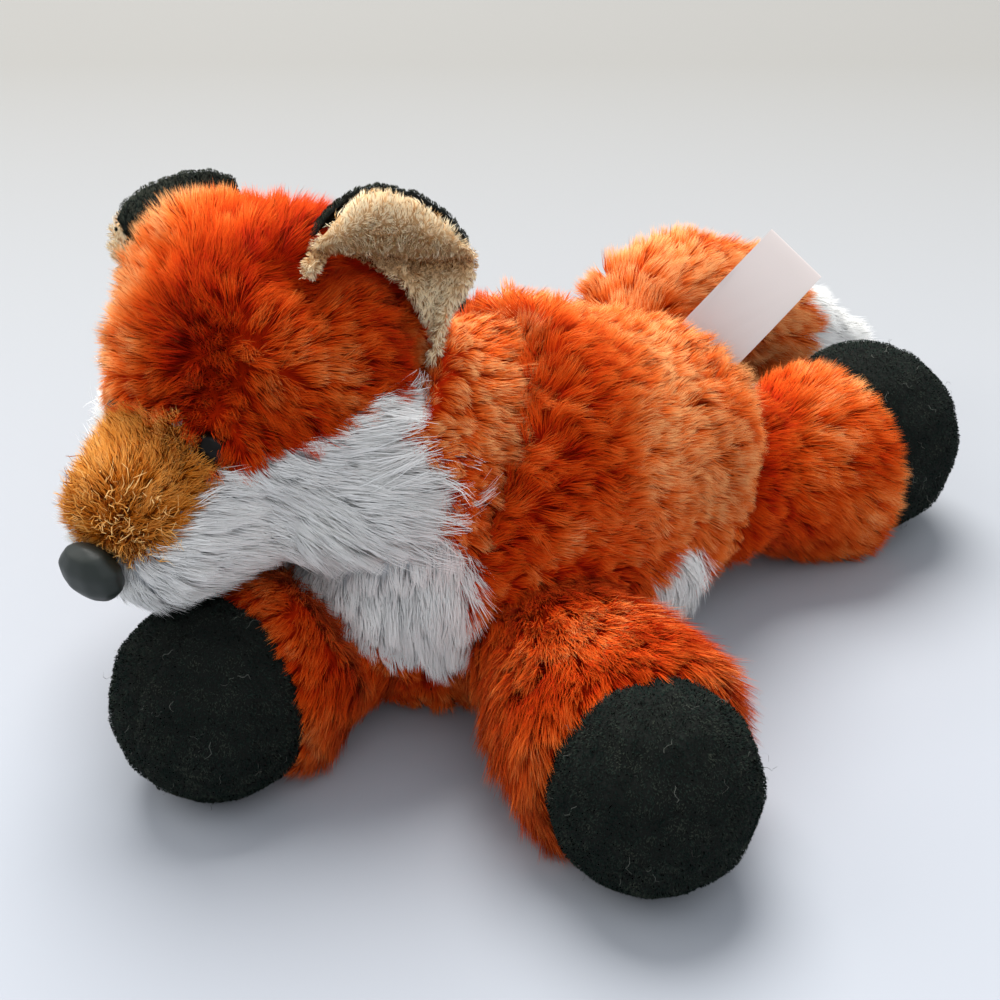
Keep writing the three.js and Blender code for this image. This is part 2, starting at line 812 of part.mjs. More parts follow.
// Head pieces
const button_cuts = [
  buttonForm(nose_seat, nose_out, nose_half_width, nose_half_height, nose_half_depth, clear),
  ...eyes.map(({ seat, out }) => (
    buttonForm(seat, out, eye_radius, eye_radius, eye_dome, clear)
      .add(openingOver(seat, out, eye_radius + clear))
  )),
];
const head_shell = minus(headForm(0, 0).subtract(headForm(-pile, -face_pile, lining_sides)), button_cuts);
const below_seams = underSeams(-clear / 2);
const above_seams = head_shell.subtract(underSeams(clear / 2));
const brow = (gap) => beyond(onHead(0, brow_ahead + gap, 0), back_axis.clone().negate());
const nose_depth = face_pile + nose_proud + nose_washer_setback;
const eye_depth = pile + eye_washer_setback;
const head_filling = minus(headForm(-pile - clear, -face_pile - clear, lining_sides), [
  ...button_cuts,
  pocketForm(nose_seat, nose_out, nose_depth, nose_washer_setback),
  ...eyes.map(({ seat, out }) => pocketForm(seat, out, eye_depth, eye_washer_setback)),
]);
addPieces(head_middle, [
  ['head_crown', largestPiece(above_seams.subtract(brow(-clear / 2))), orange_plush],
  ['muzzle_bridge', largestPiece(above_seams.intersect(brow(clear / 2))), tan_plush],
  ['cheeks_and_chin', largestPiece(head_shell.intersect(below_seams)), white_plush],
  ['head_filling', largestPiece(head_filling), stuffing],
  ['nose', buttonForm(nose_seat, nose_out, nose_half_width, nose_half_height, nose_half_depth, 0), nose_plastic],
  ['nose_washer', washerForm(nose_seat, nose_out, nose_depth), washer_plastic],
  ...eyes.flatMap(({ hand, seat, out }) => {
    const side = hand > 0 ? 'left' : 'right';
    return [
      [`eye_${side}`, buttonForm(seat, out, eye_radius, eye_radius, eye_dome, 0), eye_plastic],
      [`eye_washer_${side}`, washerForm(seat, out, eye_depth), washer_plastic],
    ];
  }),
]);

// Ear pieces, cut clear of the head through their whole swing
Object.entries(ear_frames).forEach(([side, frame]) => {
  const crown = crownBall(clear, ball_sides);
  const head_pass = sweep(crown, frame.middle, frame.across, -ear_swing, ear_swing);
  const lining = earPly(frame, clear / 2, ear_depth).subtract(head_pass);
  const back = earPly(frame, -ear_depth, -clear / 2).subtract(head_pass);
  addPieces(frame.middle, [
    [`ear_lining_${side}`, largestPiece(lining), cream_fleece],
    [`ear_back_${side}`, largestPiece(back), black_fleece],
  ]);
});

// Leg pieces: sleeve, stuffing and a paw of two halves with a seam down the middle
legs.forEach((leg) => {
  const outline = sleeveForm(leg, 0);
  const reach = clearOfBody(outline, leg.root, leg.root_radius, leg_swing);
  const paw_region = (gap) => beyond(leg.cuff.clone().addScaledVector(leg.along, gap), leg.along);
  const lining = sleeveForm(leg, -pile, lining_sides);
  const sleeve = minus(reach, [lining, paw_region(-clear / 2), below_floor]);
  const paw_shell = footForm(leg, 0).subtract(footForm(leg, -paw_fleece, lining_sides));
  const paw = paw_shell.intersect(paw_region(clear / 2)).subtract(below_floor);
  const across = up_axis.clone().cross(leg.along);
  const half = (hand) => {
    const inner = leg.foot.clone().addScaledVector(across, (hand * clear) / 2);
    return paw.intersect(beyond(inner, across.clone().multiplyScalar(hand)));
  };
  const sleeve_core = sleeveForm(leg, -pile - sweep_clear, lining_sides);
  const foot_core = footForm(leg, -paw_fleece - clear, lining_sides).intersect(paw_region(clear));
  const core = sleeve_core.subtract(paw_region(clear * 2)).add(foot_core);
  addPieces(leg.root, [
    [`leg_sleeve_${leg.name}`, largestPiece(sleeve), orange_plush],
    [`paw_left_half_${leg.name}`, half(1), black_fleece],
    [`paw_right_half_${leg.name}`, half(-1), black_fleece],
    [`leg_filling_${leg.name}`, largestPiece(core.intersect(reach)), stuffing],
  ]);
});

// Tail pieces
const tail_reach = clearOfBody(tailForm(0), tail_root, tail_root_radius, tail_swing);
const tail_seam = tail_fall.clone().lerp(tail_tip, tail_white_share);
const tail_run = tail_tip.clone().sub(tail_fall).normalize();
const tail_end = (gap) => beyond(tail_seam.clone().addScaledVector(tail_run, gap), tail_run);
const tail_shell = minus(tail_reach, [tailForm(-pile, lining_sides), below_floor]);
const tail_core = tailForm(-pile - clear, lining_sides).intersect(tail_reach);
addPieces(tail_root, [
  ['tail_sleeve', largestPiece(tail_shell.subtract(tail_end(-clear / 2))), orange_plush],
  ['tail_tip', largestPiece(tail_shell.intersect(tail_end(clear / 2))), white_plush],
  ['tail_filling', largestPiece(tail_core), stuffing],
]);

export default fox;
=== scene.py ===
import json
import math

import bpy
import numpy as np
from mathutils import Matrix, Vector
from mathutils.bvhtree import BVHTree


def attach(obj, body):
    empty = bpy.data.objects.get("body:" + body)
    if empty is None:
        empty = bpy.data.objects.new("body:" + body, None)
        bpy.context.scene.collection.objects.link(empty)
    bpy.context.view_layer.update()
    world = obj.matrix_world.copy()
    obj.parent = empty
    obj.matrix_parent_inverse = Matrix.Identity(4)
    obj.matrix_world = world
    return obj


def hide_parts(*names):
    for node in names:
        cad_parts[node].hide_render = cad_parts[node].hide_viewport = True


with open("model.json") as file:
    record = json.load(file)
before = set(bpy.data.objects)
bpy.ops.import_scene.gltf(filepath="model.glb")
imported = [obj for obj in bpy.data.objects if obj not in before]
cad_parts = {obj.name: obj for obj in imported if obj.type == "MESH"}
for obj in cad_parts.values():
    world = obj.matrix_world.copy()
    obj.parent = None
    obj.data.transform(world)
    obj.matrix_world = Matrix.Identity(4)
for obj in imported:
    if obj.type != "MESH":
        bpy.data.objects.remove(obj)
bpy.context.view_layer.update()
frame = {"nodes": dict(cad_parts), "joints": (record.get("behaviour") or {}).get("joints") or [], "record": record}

MM = 0.001
SIDES = ("left", "right")
# The middle of the head, and the ways that are right, up and towards the viewer in the photograph
HEAD = np.array((-0.033, -0.045, 0.0775))
RIGHT_PAGE = np.array((0.8192, 0.5736, 0.0))
UP_PAGE = np.array((-0.2954, 0.4219, 0.8572))
TO_VIEWER = np.array((0.4917, -0.7022, 0.5150))

# Trees of nodes


class Tree:
    """A tree of nodes, with short ways to add nodes to it."""

    def __init__(self, group):
        self.group = group

    def fill(self, node, inputs):
        """Puts a value or a link in each input that is named."""
        for key, value in inputs.items():
            if isinstance(value, bpy.types.NodeSocket):
                self.group.links.new(value, node.inputs[key])
            else:
                node.inputs[key].default_value = value
        return node

    def new(self, kind, inputs=None, **settings):
        node = self.group.nodes.new(kind)
        for key, value in settings.items():
            setattr(node, key, value)
        return self.fill(node, inputs or {})

    def maths(self, operation, *values, **settings):
        return self.new("ShaderNodeMath", dict(enumerate(values)), operation=operation, **settings).outputs[0]

    def vector(self, operation, *values):
        return self.new("ShaderNodeVectorMath", dict(enumerate(values)), operation=operation).outputs[0]

    def measure(self, operation, *values):
        """A number that is worked out from vectors."""
        node = self.new("ShaderNodeVectorMath", dict(enumerate(values)), operation=operation)
        return node.outputs["Value"]

    def scaled(self, value, scale):
        node = self.new("ShaderNodeVectorMath", {0: value, "Scale": scale}, operation="SCALE")
        return node.outputs[0]

    def total(self, first, *others):
        """The sum of some vectors."""
        for other in others:
            first = self.vector("ADD", first, other)
        return first

    def product(self, first, *others):
        """The product of some numbers."""
        for other in others:
            first = self.maths("MULTIPLY", first, other)
        return first


# Materials

# How far a strand's tone, and its way from root to tip, move it along the stops of its colour; the stops darken
# towards the root as painted shade and lighten towards the tip as painted light
TONE_REACH = 0.7
LENGTH_REACH = 0.8


def linear(red, green, blue):
    """A colour given in the 0 to 255 of a picture, as the shader wants it."""
    return tuple((c / 255) ** 2.2 for c in (red, green, blue)) + (1.0,)


def coat(m, inputs):
    """Sets inputs of a material's shader."""
    Tree(m.node_tree).fill(m.node_tree.nodes["Principled BSDF"], inputs)


def material(name, colour, roughness, specular):
    m = bpy.data.materials.new(name)
    m.use_nodes = True
    coat(m, {"Base Color": colour, "Roughness": roughness, "Specular IOR Level": specular})
    return m


def add_bump(m, scale, strength, distance):
    """Fine unevenness of a cloth, from noise."""
    tree = Tree(m.node_tree)
    place = tree.new("ShaderNodeTexCoord").outputs["Object"]
    noise = tree.new("ShaderNodeTexNoise", {"Vector": place, "Scale": scale, "Detail": 3.0})
    inputs = {"Height": noise.outputs["Fac"], "Strength": strength, "Distance": distance}
    coat(m, {"Normal": tree.new("ShaderNodeBump", inputs).outputs["Normal"]})


def pile_material(name, stops, roughness=0.85, specular=0.04, sheen=0.0, sheen_colour=(1.0, 1.0, 1.0, 1.0)):
    """Pile coloured from root to tip by its stops, each strand lighter or darker by its tone. Its dark roots are
    painted shade and its pale tips painted light.
    """
    m = material(name, stops[-1][1], roughness, specular)
    tree = Tree(m.node_tree)
    uv = tree.new("ShaderNodeUVMap", uv_map="OFBake")
    chart = tree.new("ShaderNodeSeparateXYZ", {"Vector": uv.outputs["UV"]}).outputs
    lift = tree.maths("MULTIPLY_ADD", chart["X"], TONE_REACH, -TONE_REACH / 2)
    share = tree.maths("MULTIPLY_ADD", chart["Y"], LENGTH_REACH, lift, use_clamp=True)
    ramp = tree.new("ShaderNodeValToRGB", {"Fac": share})
    elements = ramp.color_ramp.elements
    while len(elements) < len(stops):
        elements.new(0.5)
    for element, (place, colour) in zip(elements, stops):
        element.position = place
        element.color = colour
    coat(m, {"Base Color": ramp.outputs["Color"], "Sheen Weight": sheen, "Sheen Tint": sheen_colour})
    return m


# Each pile's stops run from a dark root, painted shade, to a pale tip, painted light
ORANGE = pile_material("orange_pile", [
    (0.0, linear(122, 10, 0)),
    (0.3, linear(184, 36, 2)),
    (0.6, linear(220, 76, 18)),
    (0.82, linear(240, 118, 50)),
    (1.0, linear(252, 176, 112)),
], sheen=0.22, sheen_colour=linear(255, 168, 100))
WHITE = pile_material("white_pile", [
    (0.0, linear(208, 206, 202)),
    (0.4, linear(232, 231, 229)),
    (1.0, linear(255, 254, 250)),
], roughness=0.6)
TAN = pile_material("tan_pile", [
    (0.0, linear(142, 60, 4)),
    (0.35, linear(206, 114, 32)),
    (0.7, linear(236, 162, 78)),
    (1.0, linear(252, 206, 136)),
])
CREAM = pile_material("cream_pile", [
    (0.0, linear(128, 66, 26)),
    (0.25, linear(236, 188, 132)),
    (0.6, linear(255, 225, 178)),
    (1.0, linear(255, 241, 208)),
])
BLACK = pile_material("black_pile", [
    (0.0, linear(14, 26, 25)),
    (0.5, linear(38, 46, 42)),
    (1.0, linear(70, 72, 63)),
], roughness=0.95, specular=0.03)
ORANGE_CLOTH = material("orange_cloth", linear(200, 48, 8), roughness=0.9, specular=0.05)
WHITE_CLOTH = material("white_cloth", linear(190, 194, 198), roughness=0.9, specular=0.1)
TAN_CLOTH = material("tan_cloth", linear(128, 66, 22), roughness=0.9, specular=0.1)
BLACK_FLEECE = material("black_fleece_cloth", linear(30, 32, 30), roughness=0.95, specular=0.1)
CREAM_FLEECE = material("cream_fleece_cloth", linear(206, 168, 124), roughness=0.95, specular=0.1)
NOSE_PLASTIC = material("nose_plastic", linear(30, 37, 33), roughness=0.5, specular=0.45)
EYE_PLASTIC = material("eye_plastic", linear(14, 9, 6), roughness=0.3, specular=0.18)
SATIN = material("satin_ribbon", linear(206, 195, 191), roughness=0.38, specular=0.5)
LINT = material("lint", linear(98, 100, 94), roughness=0.9, specular=0.1)
add_bump(BLACK_FLEECE, scale=900, strength=0.8, distance=0.6 * MM)
add_bump(CREAM_FLEECE, scale=700, strength=0.8, distance=0.8 * MM)
add_bump(NOSE_PLASTIC, scale=1400, strength=0.15, distance=0.2 * MM)
add_bump(SATIN, scale=2200, strength=0.12, distance=0.1 * MM)

# Meshes

WELD_GAP = 0.01 * MM
SWELL_STEPS = 12
# A skin under pile stays this far over the floor, and moves in by at most this share of its thickness
FLOOR_GAP = 0.4 * MM
DEEPEST_SHARE = 0.35
THICKEST = 30 * MM


def arrays_of(mesh):
    """Where the vertices are and which way they face."""
    count = len(mesh.vertices)
    co = np.empty(count * 3, np.float32)
    mesh.vertices.foreach_get("co", co)
    normal = np.empty(count * 3, np.float32)
    mesh.vertices.foreach_get("normal", normal)
    return co.reshape(-1, 3).astype(float), normal.reshape(-1, 3).astype(float)


def place_vertices(mesh, co):
    mesh.vertices.foreach_set("co", co.astype(np.float32).ravel())
    mesh.update()


def copied(nodes):
    """Vertices and faces of CAD nodes together, in the row frame."""
    vertices, faces = [], []
    for name in nodes:
        node = frame["nodes"][name]
        world = node.matrix_world
        first = len(vertices)
        vertices += [tuple(world @ v.co) for v in node.data.vertices]
        faces += [tuple(first + i for i in p.vertices) for p in node.data.polygons]
    return vertices, faces


def new_object(name, vertices, faces):
    mesh = bpy.data.meshes.new(name)
    mesh.from_pydata([tuple(v) for v in vertices], [], [tuple(f) for f in faces])
    mesh.update()
    thing = bpy.data.objects.new(name, mesh)
    bpy.context.scene.collection.objects.link(thing)
    return thing


def applied(thing, kind, **settings):
    """The object with one modifier applied to its mesh."""
    modifier = thing.modifiers.new(kind.lower(), kind)
    for key, value in settings.items():
        setattr(modifier, key, value)
    graph = bpy.context.evaluated_depsgraph_get()
    mesh = bpy.data.meshes.new_from_object(thing.evaluated_get(graph))
    thing.modifiers.clear()
    old = thing.data
    thing.data = mesh
    bpy.data.meshes.remove(old)
    return thing


def solid_from(name, nodes, voxel, rounds):
    """One closed smooth solid over CAD nodes, whose narrow gaps it closes."""
    vertices, faces = copied(nodes)
    thing = new_object(name, vertices, faces)
    applied(thing, "WELD", merge_threshold=WELD_GAP)
    applied(thing, "REMESH", mode="VOXEL", voxel_size=voxel)
    applied(thing, "SMOOTH", factor=0.5, iterations=rounds)
    return thing


def stuffed(thing, cap):
    """The cloth swells under the pressure of the stuffing, by up to cap."""
    before, _ = arrays_of(thing.data)
    modifier = thing.modifiers.new("cloth", "CLOTH")
    cloth = modifier.settings
    cloth.quality = 4
    cloth.mass = 0.2
    cloth.tension_stiffness = 20
    cloth.compression_stiffness = 20
    cloth.bending_stiffness = 0.6
    cloth.use_pressure = True
    cloth.uniform_pressure_force = 4
    cloth.effector_weights.gravity = 0
    modifier.point_cache.frame_start = 1
    modifier.point_cache.frame_end = SWELL_STEPS
    for step in range(1, SWELL_STEPS + 1):
        bpy.context.scene.frame_set(step)
    graph = bpy.context.evaluated_depsgraph_get()
    swollen = bpy.data.meshes.new_from_object(thing.evaluated_get(graph))
    after, _ = arrays_of(swollen)
    bpy.data.meshes.remove(swollen)
    thing.modifiers.clear()
    bpy.context.scene.frame_set(1)
    move = after - before
    size = np.linalg.norm(move, axis=1, keepdims=True)
    least_move = 1e-9
    place_vertices(thing.data, before + move * np.minimum(1, cap / np.maximum(size, least_move)))
    return thing


def thickness(thing, most):
    """How thick the solid is behind each vertex, up to most."""
    below_skin = 0.3 * MM
    co, normal = arrays_of(thing.data)
    tree = BVHTree.FromPolygons([tuple(p) for p in co], [tuple(p.vertices) for p in thing.data.polygons])
    depth = np.full(len(co), most)
    for i, (p, n) in enumerate(zip(co, normal)):
        far = tree.ray_cast(Vector(p - n * below_skin), Vector(-n), most)[3]
        if far is not None:
            depth[i] = far
    return depth


def inset(thing, depth):
    """Moves the skin in by the height of its pile; depth is one value or one for each vertex."""
    co, normal = arrays_of(thing.data)
    depth = np.broadcast_to(np.asarray(depth, float), (len(co),))
    depth = np.minimum(depth, DEEPEST_SHARE * thickness(thing, THICKEST))
    co -= normal * depth[:, None]
    co[:, 2] = np.maximum(co[:, 2], FLOOR_GAP)
    place_vertices(thing.data, co)
    return thing


def finder(nodes):
    """A tree that finds the nearest point of CAD nodes."""
    vertices, faces = copied(nodes)
    return BVHTree.FromPolygons(vertices, faces)


def distances(tree, co):
    return np.array([tree.find_nearest(Vector(p))[3] for p in co])


def shaded(thing, *materials):
    for m in materials:
        thing.data.materials.append(m)
    thing.data.shade_smooth()
    return thing


def paint(thing, which):
    """Gives each face the material whose number most of its corners name."""
    faces = thing.data.polygons
    index = np.array([round(sum(which[i] for i in p.vertices) / len(p.vertices)) for p in faces])
    thing.data.polygons.foreach_set("material_index", index.astype(np.int32))


def store(mesh, name, values):
    """Keeps one value or vector for each vertex under a name."""
    kind = "FLOAT_VECTOR" if values.ndim == 2 else "FLOAT"
    attribute = mesh.attributes.get(name) or mesh.attributes.new(name, kind, "POINT")
    key = "vector" if values.ndim == 2 else "value"
    attribute.data.foreach_set(key, values.astype(np.float32).ravel())


# Pile

# A strand's length varies between these shares, and the guides of the tufts stray more than their strands
STRAND_LENGTHS = (0.72, 1.08)
GUIDE_STRAY = 1.7
# A strand's bend lies this share of its way along, raised by this share of its length
BEND_ALONG = 0.3
BEND_RISE = 0.32
BLADE_ROLL = 0.8
CURL_TURN = 8.5
CURL_PHASES = (0.0, 6.283)
TAPER = 1.6
# How much the tuft, the strand and the patch that it stands in make it lighter or darker
TUFT_TONE = 0.26
STRAND_TONE = 0.2
PATCH_TONE = 1.6
PATCH_LEVEL = 0.32
TONE_EDGE = 0.02
STRAND_FLOOR = 0.2 * MM
# A strand is shaded mostly as the skin under it faces
SKIN_SHADING = 0.8
BLADE_SHADING = 0.25
# Offsets that keep the random draws of a piece apart
SEED_STEPS = {"strands": 0, "guides": 101, "stray": 7, "length": 13, "shade": 19, "gather": 23, "roll": 31,
              "tone": 41, "phase": 53}
# What each piece of pile can set, and what holds where it doesn't
PILE_SIZES = {"Density": 2e6, "Tufts": 4e4, "Length": 10 * MM, "Width": 0.4 * MM, "Lean": 0.3, "Scatter": 0.3,
              "Gather": 0.6, "Tip": 0.25, "Patch": 60.0, "Curl": 0.0, "Seed": 1, "Steps": 2}


class PileTree(Tree):
    """A tree of geometry nodes, with the nodes that the pile needs."""

    def __init__(self):
        super().__init__(bpy.data.node_groups.new("pile", "GeometryNodeTree"))
        self.given = None

    def named(self, name, kind="FLOAT_VECTOR"):
        node = self.new("GeometryNodeInputNamedAttribute", {"Name": name}, data_type=kind)
        return node.outputs["Attribute"]

    def stored(self, geometry, name, value, kind="FLOAT_VECTOR", domain="POINT"):
        inputs = {"Geometry": geometry, "Name": name, "Value": value}
        node = self.new("GeometryNodeStoreNamedAttribute", inputs, data_type=kind, domain=domain)
        return node.outputs["Geometry"]

    def seed(self, draw, base=None):
        """The seed of one of the random draws."""
        if base is None:
            base = self.given["Seed"]
        return self.maths("ADD", base, float(SEED_STEPS[draw]))

    def chance(self, low, high, seed):
        """A random number between two others."""
        inputs = {2: low, 3: high, "Seed": seed}
        return self.new("FunctionNodeRandomValue", inputs, data_type="FLOAT").outputs[1]

    def any_way(self, seed):
        """A random vector with each part between -1 and 1."""
        inputs = {0: (-1, -1, -1), 1: (1, 1, 1), "Seed": seed}
        return self.new("FunctionNodeRandomValue", inputs, data_type="FLOAT_VECTOR").outputs[0]


def scattered(tree, density, seed, stray_share):
    """Points on the skin that hold where their strands' tips are, with where they stand and their length."""
    given = tree.given
    cover = tree.product(density, tree.named("cover", "FLOAT"))
    node = tree.new("GeometryNodeDistributePointsOnFaces",
                    {"Mesh": given["Geometry"], "Density": cover, "Seed": seed}, distribute_method="RANDOM")
    position = tree.new("GeometryNodeInputPosition").outputs[0]
    normal = node.outputs["Normal"]
    lean = tree.product(given["Lean"], tree.named("comb", "FLOAT"))
    upright = tree.scaled(normal, tree.maths("SUBTRACT", 1.0, lean))
    aside = tree.scaled(tree.named("flow"), lean)
    stray = tree.scaled(tree.any_way(tree.seed("stray", seed)), tree.product(given["Scatter"], stray_share))
    way = tree.vector("NORMALIZE", tree.total(upright, aside, stray))
    length = tree.product(given["Length"], tree.named("reach", "FLOAT"),
                          tree.chance(*STRAND_LENGTHS, tree.seed("length", seed)))
    points = tree.stored(node.outputs["Points"], "tip", tree.total(position, tree.scaled(way, length)))
    points = tree.stored(points, "up", normal)
    points = tree.stored(points, "shade", tree.chance(0.0, 1.0, tree.seed("shade", seed)), "FLOAT")
    return points, position, length


def toned(tree, position, guide_shade):
    """How light each strand is, from its tuft, itself, the patch that it stands in and the painted light, shade
    and tone stored on the skin.
    """
    inputs = {"Scale": tree.given["Patch"], "Detail": 2.0, "Vector": position}
    noise = tree.new("ShaderNodeTexNoise", inputs).outputs[0]
    patch = tree.product(tree.maths("SUBTRACT", noise, PATCH_LEVEL), PATCH_TONE)
    strand = tree.chance(0.0, STRAND_TONE, tree.seed("tone"))
    tone = tree.maths("ADD", tree.product(guide_shade, TUFT_TONE), strand)
    tone = tree.maths("ADD", tree.maths("ADD", tone, patch), tree.named("painted_light_and_tone", "FLOAT"))
    return tree.maths("MINIMUM", tree.maths("MAXIMUM", tone, TONE_EDGE), 1 - TONE_EDGE)


def shaped(tree, points, position, length, guides):
    """The points with the root, the bend and the tip of their strands, drawn to the nearest guide's tip."""
    nearest = tree.new("GeometryNodeSampleNearest", {"Geometry": guides, "Sample Position": position})

    def of_guide(name, kind):
        inputs = {"Geometry": guides, "Value": tree.named(name, kind), "Index": nearest.outputs["Index"]}
        return tree.new("GeometryNodeSampleIndex", inputs, data_type=kind).outputs["Value"]

    own_tip = tree.named("tip")
    gather = tree.product(tree.given["Gather"], tree.chance(0.5, 1.0, tree.seed("gather")))
    to_guide = tree.vector("SUBTRACT", of_guide("tip", "FLOAT_VECTOR"), own_tip)
    tip = tree.total(own_tip, tree.scaled(to_guide, gather))
    reach = tree.vector("SUBTRACT", tip, position)
    rise = tree.scaled(tree.named("up"), tree.product(length, BEND_RISE))
    mid = tree.total(position, tree.scaled(reach, BEND_ALONG), rise)
    roll = tree.scaled(tree.any_way(tree.seed("roll")), BLADE_ROLL)
    across = tree.vector("CROSS_PRODUCT", reach, tree.total(tree.named("up"), roll))
    across = tree.vector("NORMALIZE", across)
    for name, value in (("root", position), ("mid", mid), ("end", tip), ("across", across)):
        points = tree.stored(points, name, value)
    points = tree.stored(points, "tone", toned(tree, position, of_guide("shade", "FLOAT")), "FLOAT")
    return tree.stored(points, "phase", tree.chance(*CURL_PHASES, tree.seed("phase")), "FLOAT")


def blade(tree):
    """One flat strand, each point of which holds how far to the side and how far along it is."""
    steps = tree.given["Steps"]
    inputs = {"Size X": 1.0, "Size Y": 1.0, "Vertices X": 2, "Vertices Y": steps}
    grid = tree.new("GeometryNodeMeshGrid", inputs)
    cut = tree.new("GeometryNodeTriangulate", {"Mesh": grid.outputs["Mesh"]}, quad_method="FIXED_ALTERNATE")
    here = tree.new("ShaderNodeSeparateXYZ", {0: tree.new("GeometryNodeInputPosition").outputs[0]}).outputs
    # With two steps the strand is a sliver: one point at the root, two halfway and one at the tip
    sliver = tree.product(tree.maths("LESS_THAN", steps, 2.5), 0.5)
    straight = tree.maths("SUBTRACT", 1.0, sliver)
    side = tree.maths("SUBTRACT", tree.product(here["X"], straight), tree.product(here["Y"], sliver))
    along = tree.maths("ADD", tree.product(here["Y"], straight), tree.product(here["X"], sliver))
    strip = tree.stored(cut.outputs["Mesh"], "side", side, "FLOAT")
    return tree.stored(strip, "along", tree.maths("ADD", along, 0.5), "FLOAT")


def bent(tree, strands):
    """The strands along their bends, with their curl and their taper, and the way that they are shaded."""
    root, mid, end, across = [tree.named(name) for name in ("root", "mid", "end", "across")]
    beside = tree.vector("CROSS_PRODUCT", across, tree.vector("SUBTRACT", end, root))
    beside = tree.vector("NORMALIZE", beside)
    soft = tree.total(tree.scaled(tree.named("up"), SKIN_SHADING), tree.scaled(beside, BLADE_SHADING))
    strands = tree.stored(strands, "soft", tree.vector("NORMALIZE", soft))

    along = tree.named("along", "FLOAT")
    rest = tree.maths("SUBTRACT", 1.0, along)
    line = tree.total(tree.scaled(root, tree.product(rest, rest)),
                      tree.scaled(mid, tree.product(rest, along, 2.0)),
                      tree.scaled(end, tree.product(along, along)))
    angle = tree.maths("ADD", tree.product(along, CURL_TURN), tree.named("phase", "FLOAT"))
    loop = tree.product(tree.given["Curl"], along)
    line = tree.total(line, tree.scaled(across, tree.product(loop, tree.maths("SINE", angle))),
                      tree.scaled(beside, tree.product(loop, tree.maths("COSINE", angle))))
    blunt = tree.given["Tip"]
    narrowed = tree.maths("SUBTRACT", 1.0, tree.maths("POWER", along, TAPER))
    taper = tree.maths("ADD", tree.product(narrowed, tree.maths("SUBTRACT", 1.0, blunt)), blunt)
    wide = tree.product(tree.named("side", "FLOAT"), tree.given["Width"], taper)
    place = tree.total(line, tree.scaled(across, wide))
    place = tree.vector("MAXIMUM", place, (-10.0, -10.0, STRAND_FLOOR))
    return tree.new("GeometryNodeSetPosition", {"Geometry": strands, "Position": place}).outputs["Geometry"]


def charted(tree, strands):
    """The strands with their chart: their tone across it, and the way from root to tip up it."""
    aside = tree.product(tree.named("side", "FLOAT"), TONE_EDGE)
    upward = tree.maths("ADD", tree.product(tree.named("along", "FLOAT"), 1 - 2 * TONE_EDGE), TONE_EDGE)
    inputs = {"X": tree.maths("ADD", tree.named("tone", "FLOAT"), aside), "Y": upward}
    chart = tree.new("ShaderNodeCombineXYZ", inputs).outputs["Vector"]
    return tree.stored(strands, "OFBake", chart, "FLOAT2", "CORNER")


def pile_tree():
    """Strands that stand on a skin, lean with its flow and gather into tufts."""
    tree = PileTree()
    face = tree.group.interface
    face.new_socket("Geometry", in_out="INPUT", socket_type="NodeSocketGeometry")
    face.new_socket("Geometry", in_out="OUTPUT", socket_type="NodeSocketGeometry")
    for name, value in PILE_SIZES.items():
        kind = "NodeSocketInt" if isinstance(value, int) else "NodeSocketFloat"
        face.new_socket(name, in_out="INPUT", socket_type=kind).default_value = value
    face.new_socket("Material", in_out="INPUT", socket_type="NodeSocketMaterial")
    tree.given = tree.new("NodeGroupInput").outputs

    guides, _, _ = scattered(tree, tree.given["Tufts"], tree.seed("guides"), GUIDE_STRAY)
    points, position, length = scattered(tree, tree.given["Density"], tree.seed("strands"), 1.0)
    points = shaped(tree, points, position, length, guides)
    planted = tree.new("GeometryNodeInstanceOnPoints", {"Points": points, "Instance": blade(tree)})
    real = tree.new("GeometryNodeRealizeInstances", {"Geometry": planted.outputs["Instances"]})
    strands = charted(tree, bent(tree, real.outputs["Geometry"]))
    dyed = tree.new("GeometryNodeSetMaterial", {"Geometry": strands, "Material": tree.given["Material"]})
    tree.new("NodeGroupOutput", {"Geometry": dyed.outputs["Geometry"]})
    return tree.group


PILE = pile_tree()
SOCKETS = {s.name: s.identifier for s in PILE.interface.items_tree if s.in_out == "INPUT"}
# Each pile draws from a seed of its own
SEEDS = iter(range(1, 500))
# What a grown pile keeps
USED = ("OFBake", "position", "material_index", ".corner_vert", ".corner_edge", ".edge_verts")


def grow(name, skin, body, slot, cloth, cover, **settings):
    """Pile on the part of a skin where cover is over zero. The skin holds flow, comb, reach and the painted light,
    shade and tone of its pile.
    """
    store(skin.data, "cover", cover)
    modifier = skin.modifiers.new("pile", "NODES")
    modifier.node_group = PILE
    values = {"Seed": next(SEEDS), "Material": cloth, **settings}
    for key, value in values.items():
        modifier[SOCKETS[key]] = value
    skin.update_tag()
    bpy.context.view_layer.update()
    graph = bpy.context.evaluated_depsgraph_get()
    mesh = bpy.data.meshes.new_from_object(skin.evaluated_get(graph))
    skin.modifiers.remove(modifier)
    soft = np.empty(len(mesh.vertices) * 3, np.float32)
    mesh.attributes["soft"].data.foreach_get("vector", soft)
    for attribute in [a.name for a in mesh.attributes if a.name not in USED and not a.is_internal]:
        mesh.attributes.remove(mesh.attributes[attribute])
    mesh.name = name
    mesh.shade_smooth()
    mesh.normals_split_custom_set_from_vertices(soft.reshape(-1, 3))
    fur = bpy.data.objects.new(name, mesh)
    bpy.context.scene.collection.objects.link(fur)
    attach(fur, body)
    print(name, len(mesh.polygons), "triangles")
    return fur


def lay(skin, wish, comb, reach, painted_light_and_tone=0.0):
    """Stores on the skin which way its pile flows, how far it leans, how long it is, and how much lighter or
    darker its painted light, shade and tone make it.
    """
    _, normal = arrays_of(skin.data)
    flow = wish - normal * (wish * normal).sum(1, keepdims=True)
    size = np.linalg.norm(flow, axis=1, keepdims=True)
    flow = flow / np.maximum(size, 1e-6)
    store(skin.data, "flow", flow)
    for name, values in (("comb", comb), ("reach", reach), ("painted_light_and_tone", painted_light_and_tone)):
        store(skin.data, name, np.broadcast_to(np.asarray(values, float), (len(normal),)).copy())


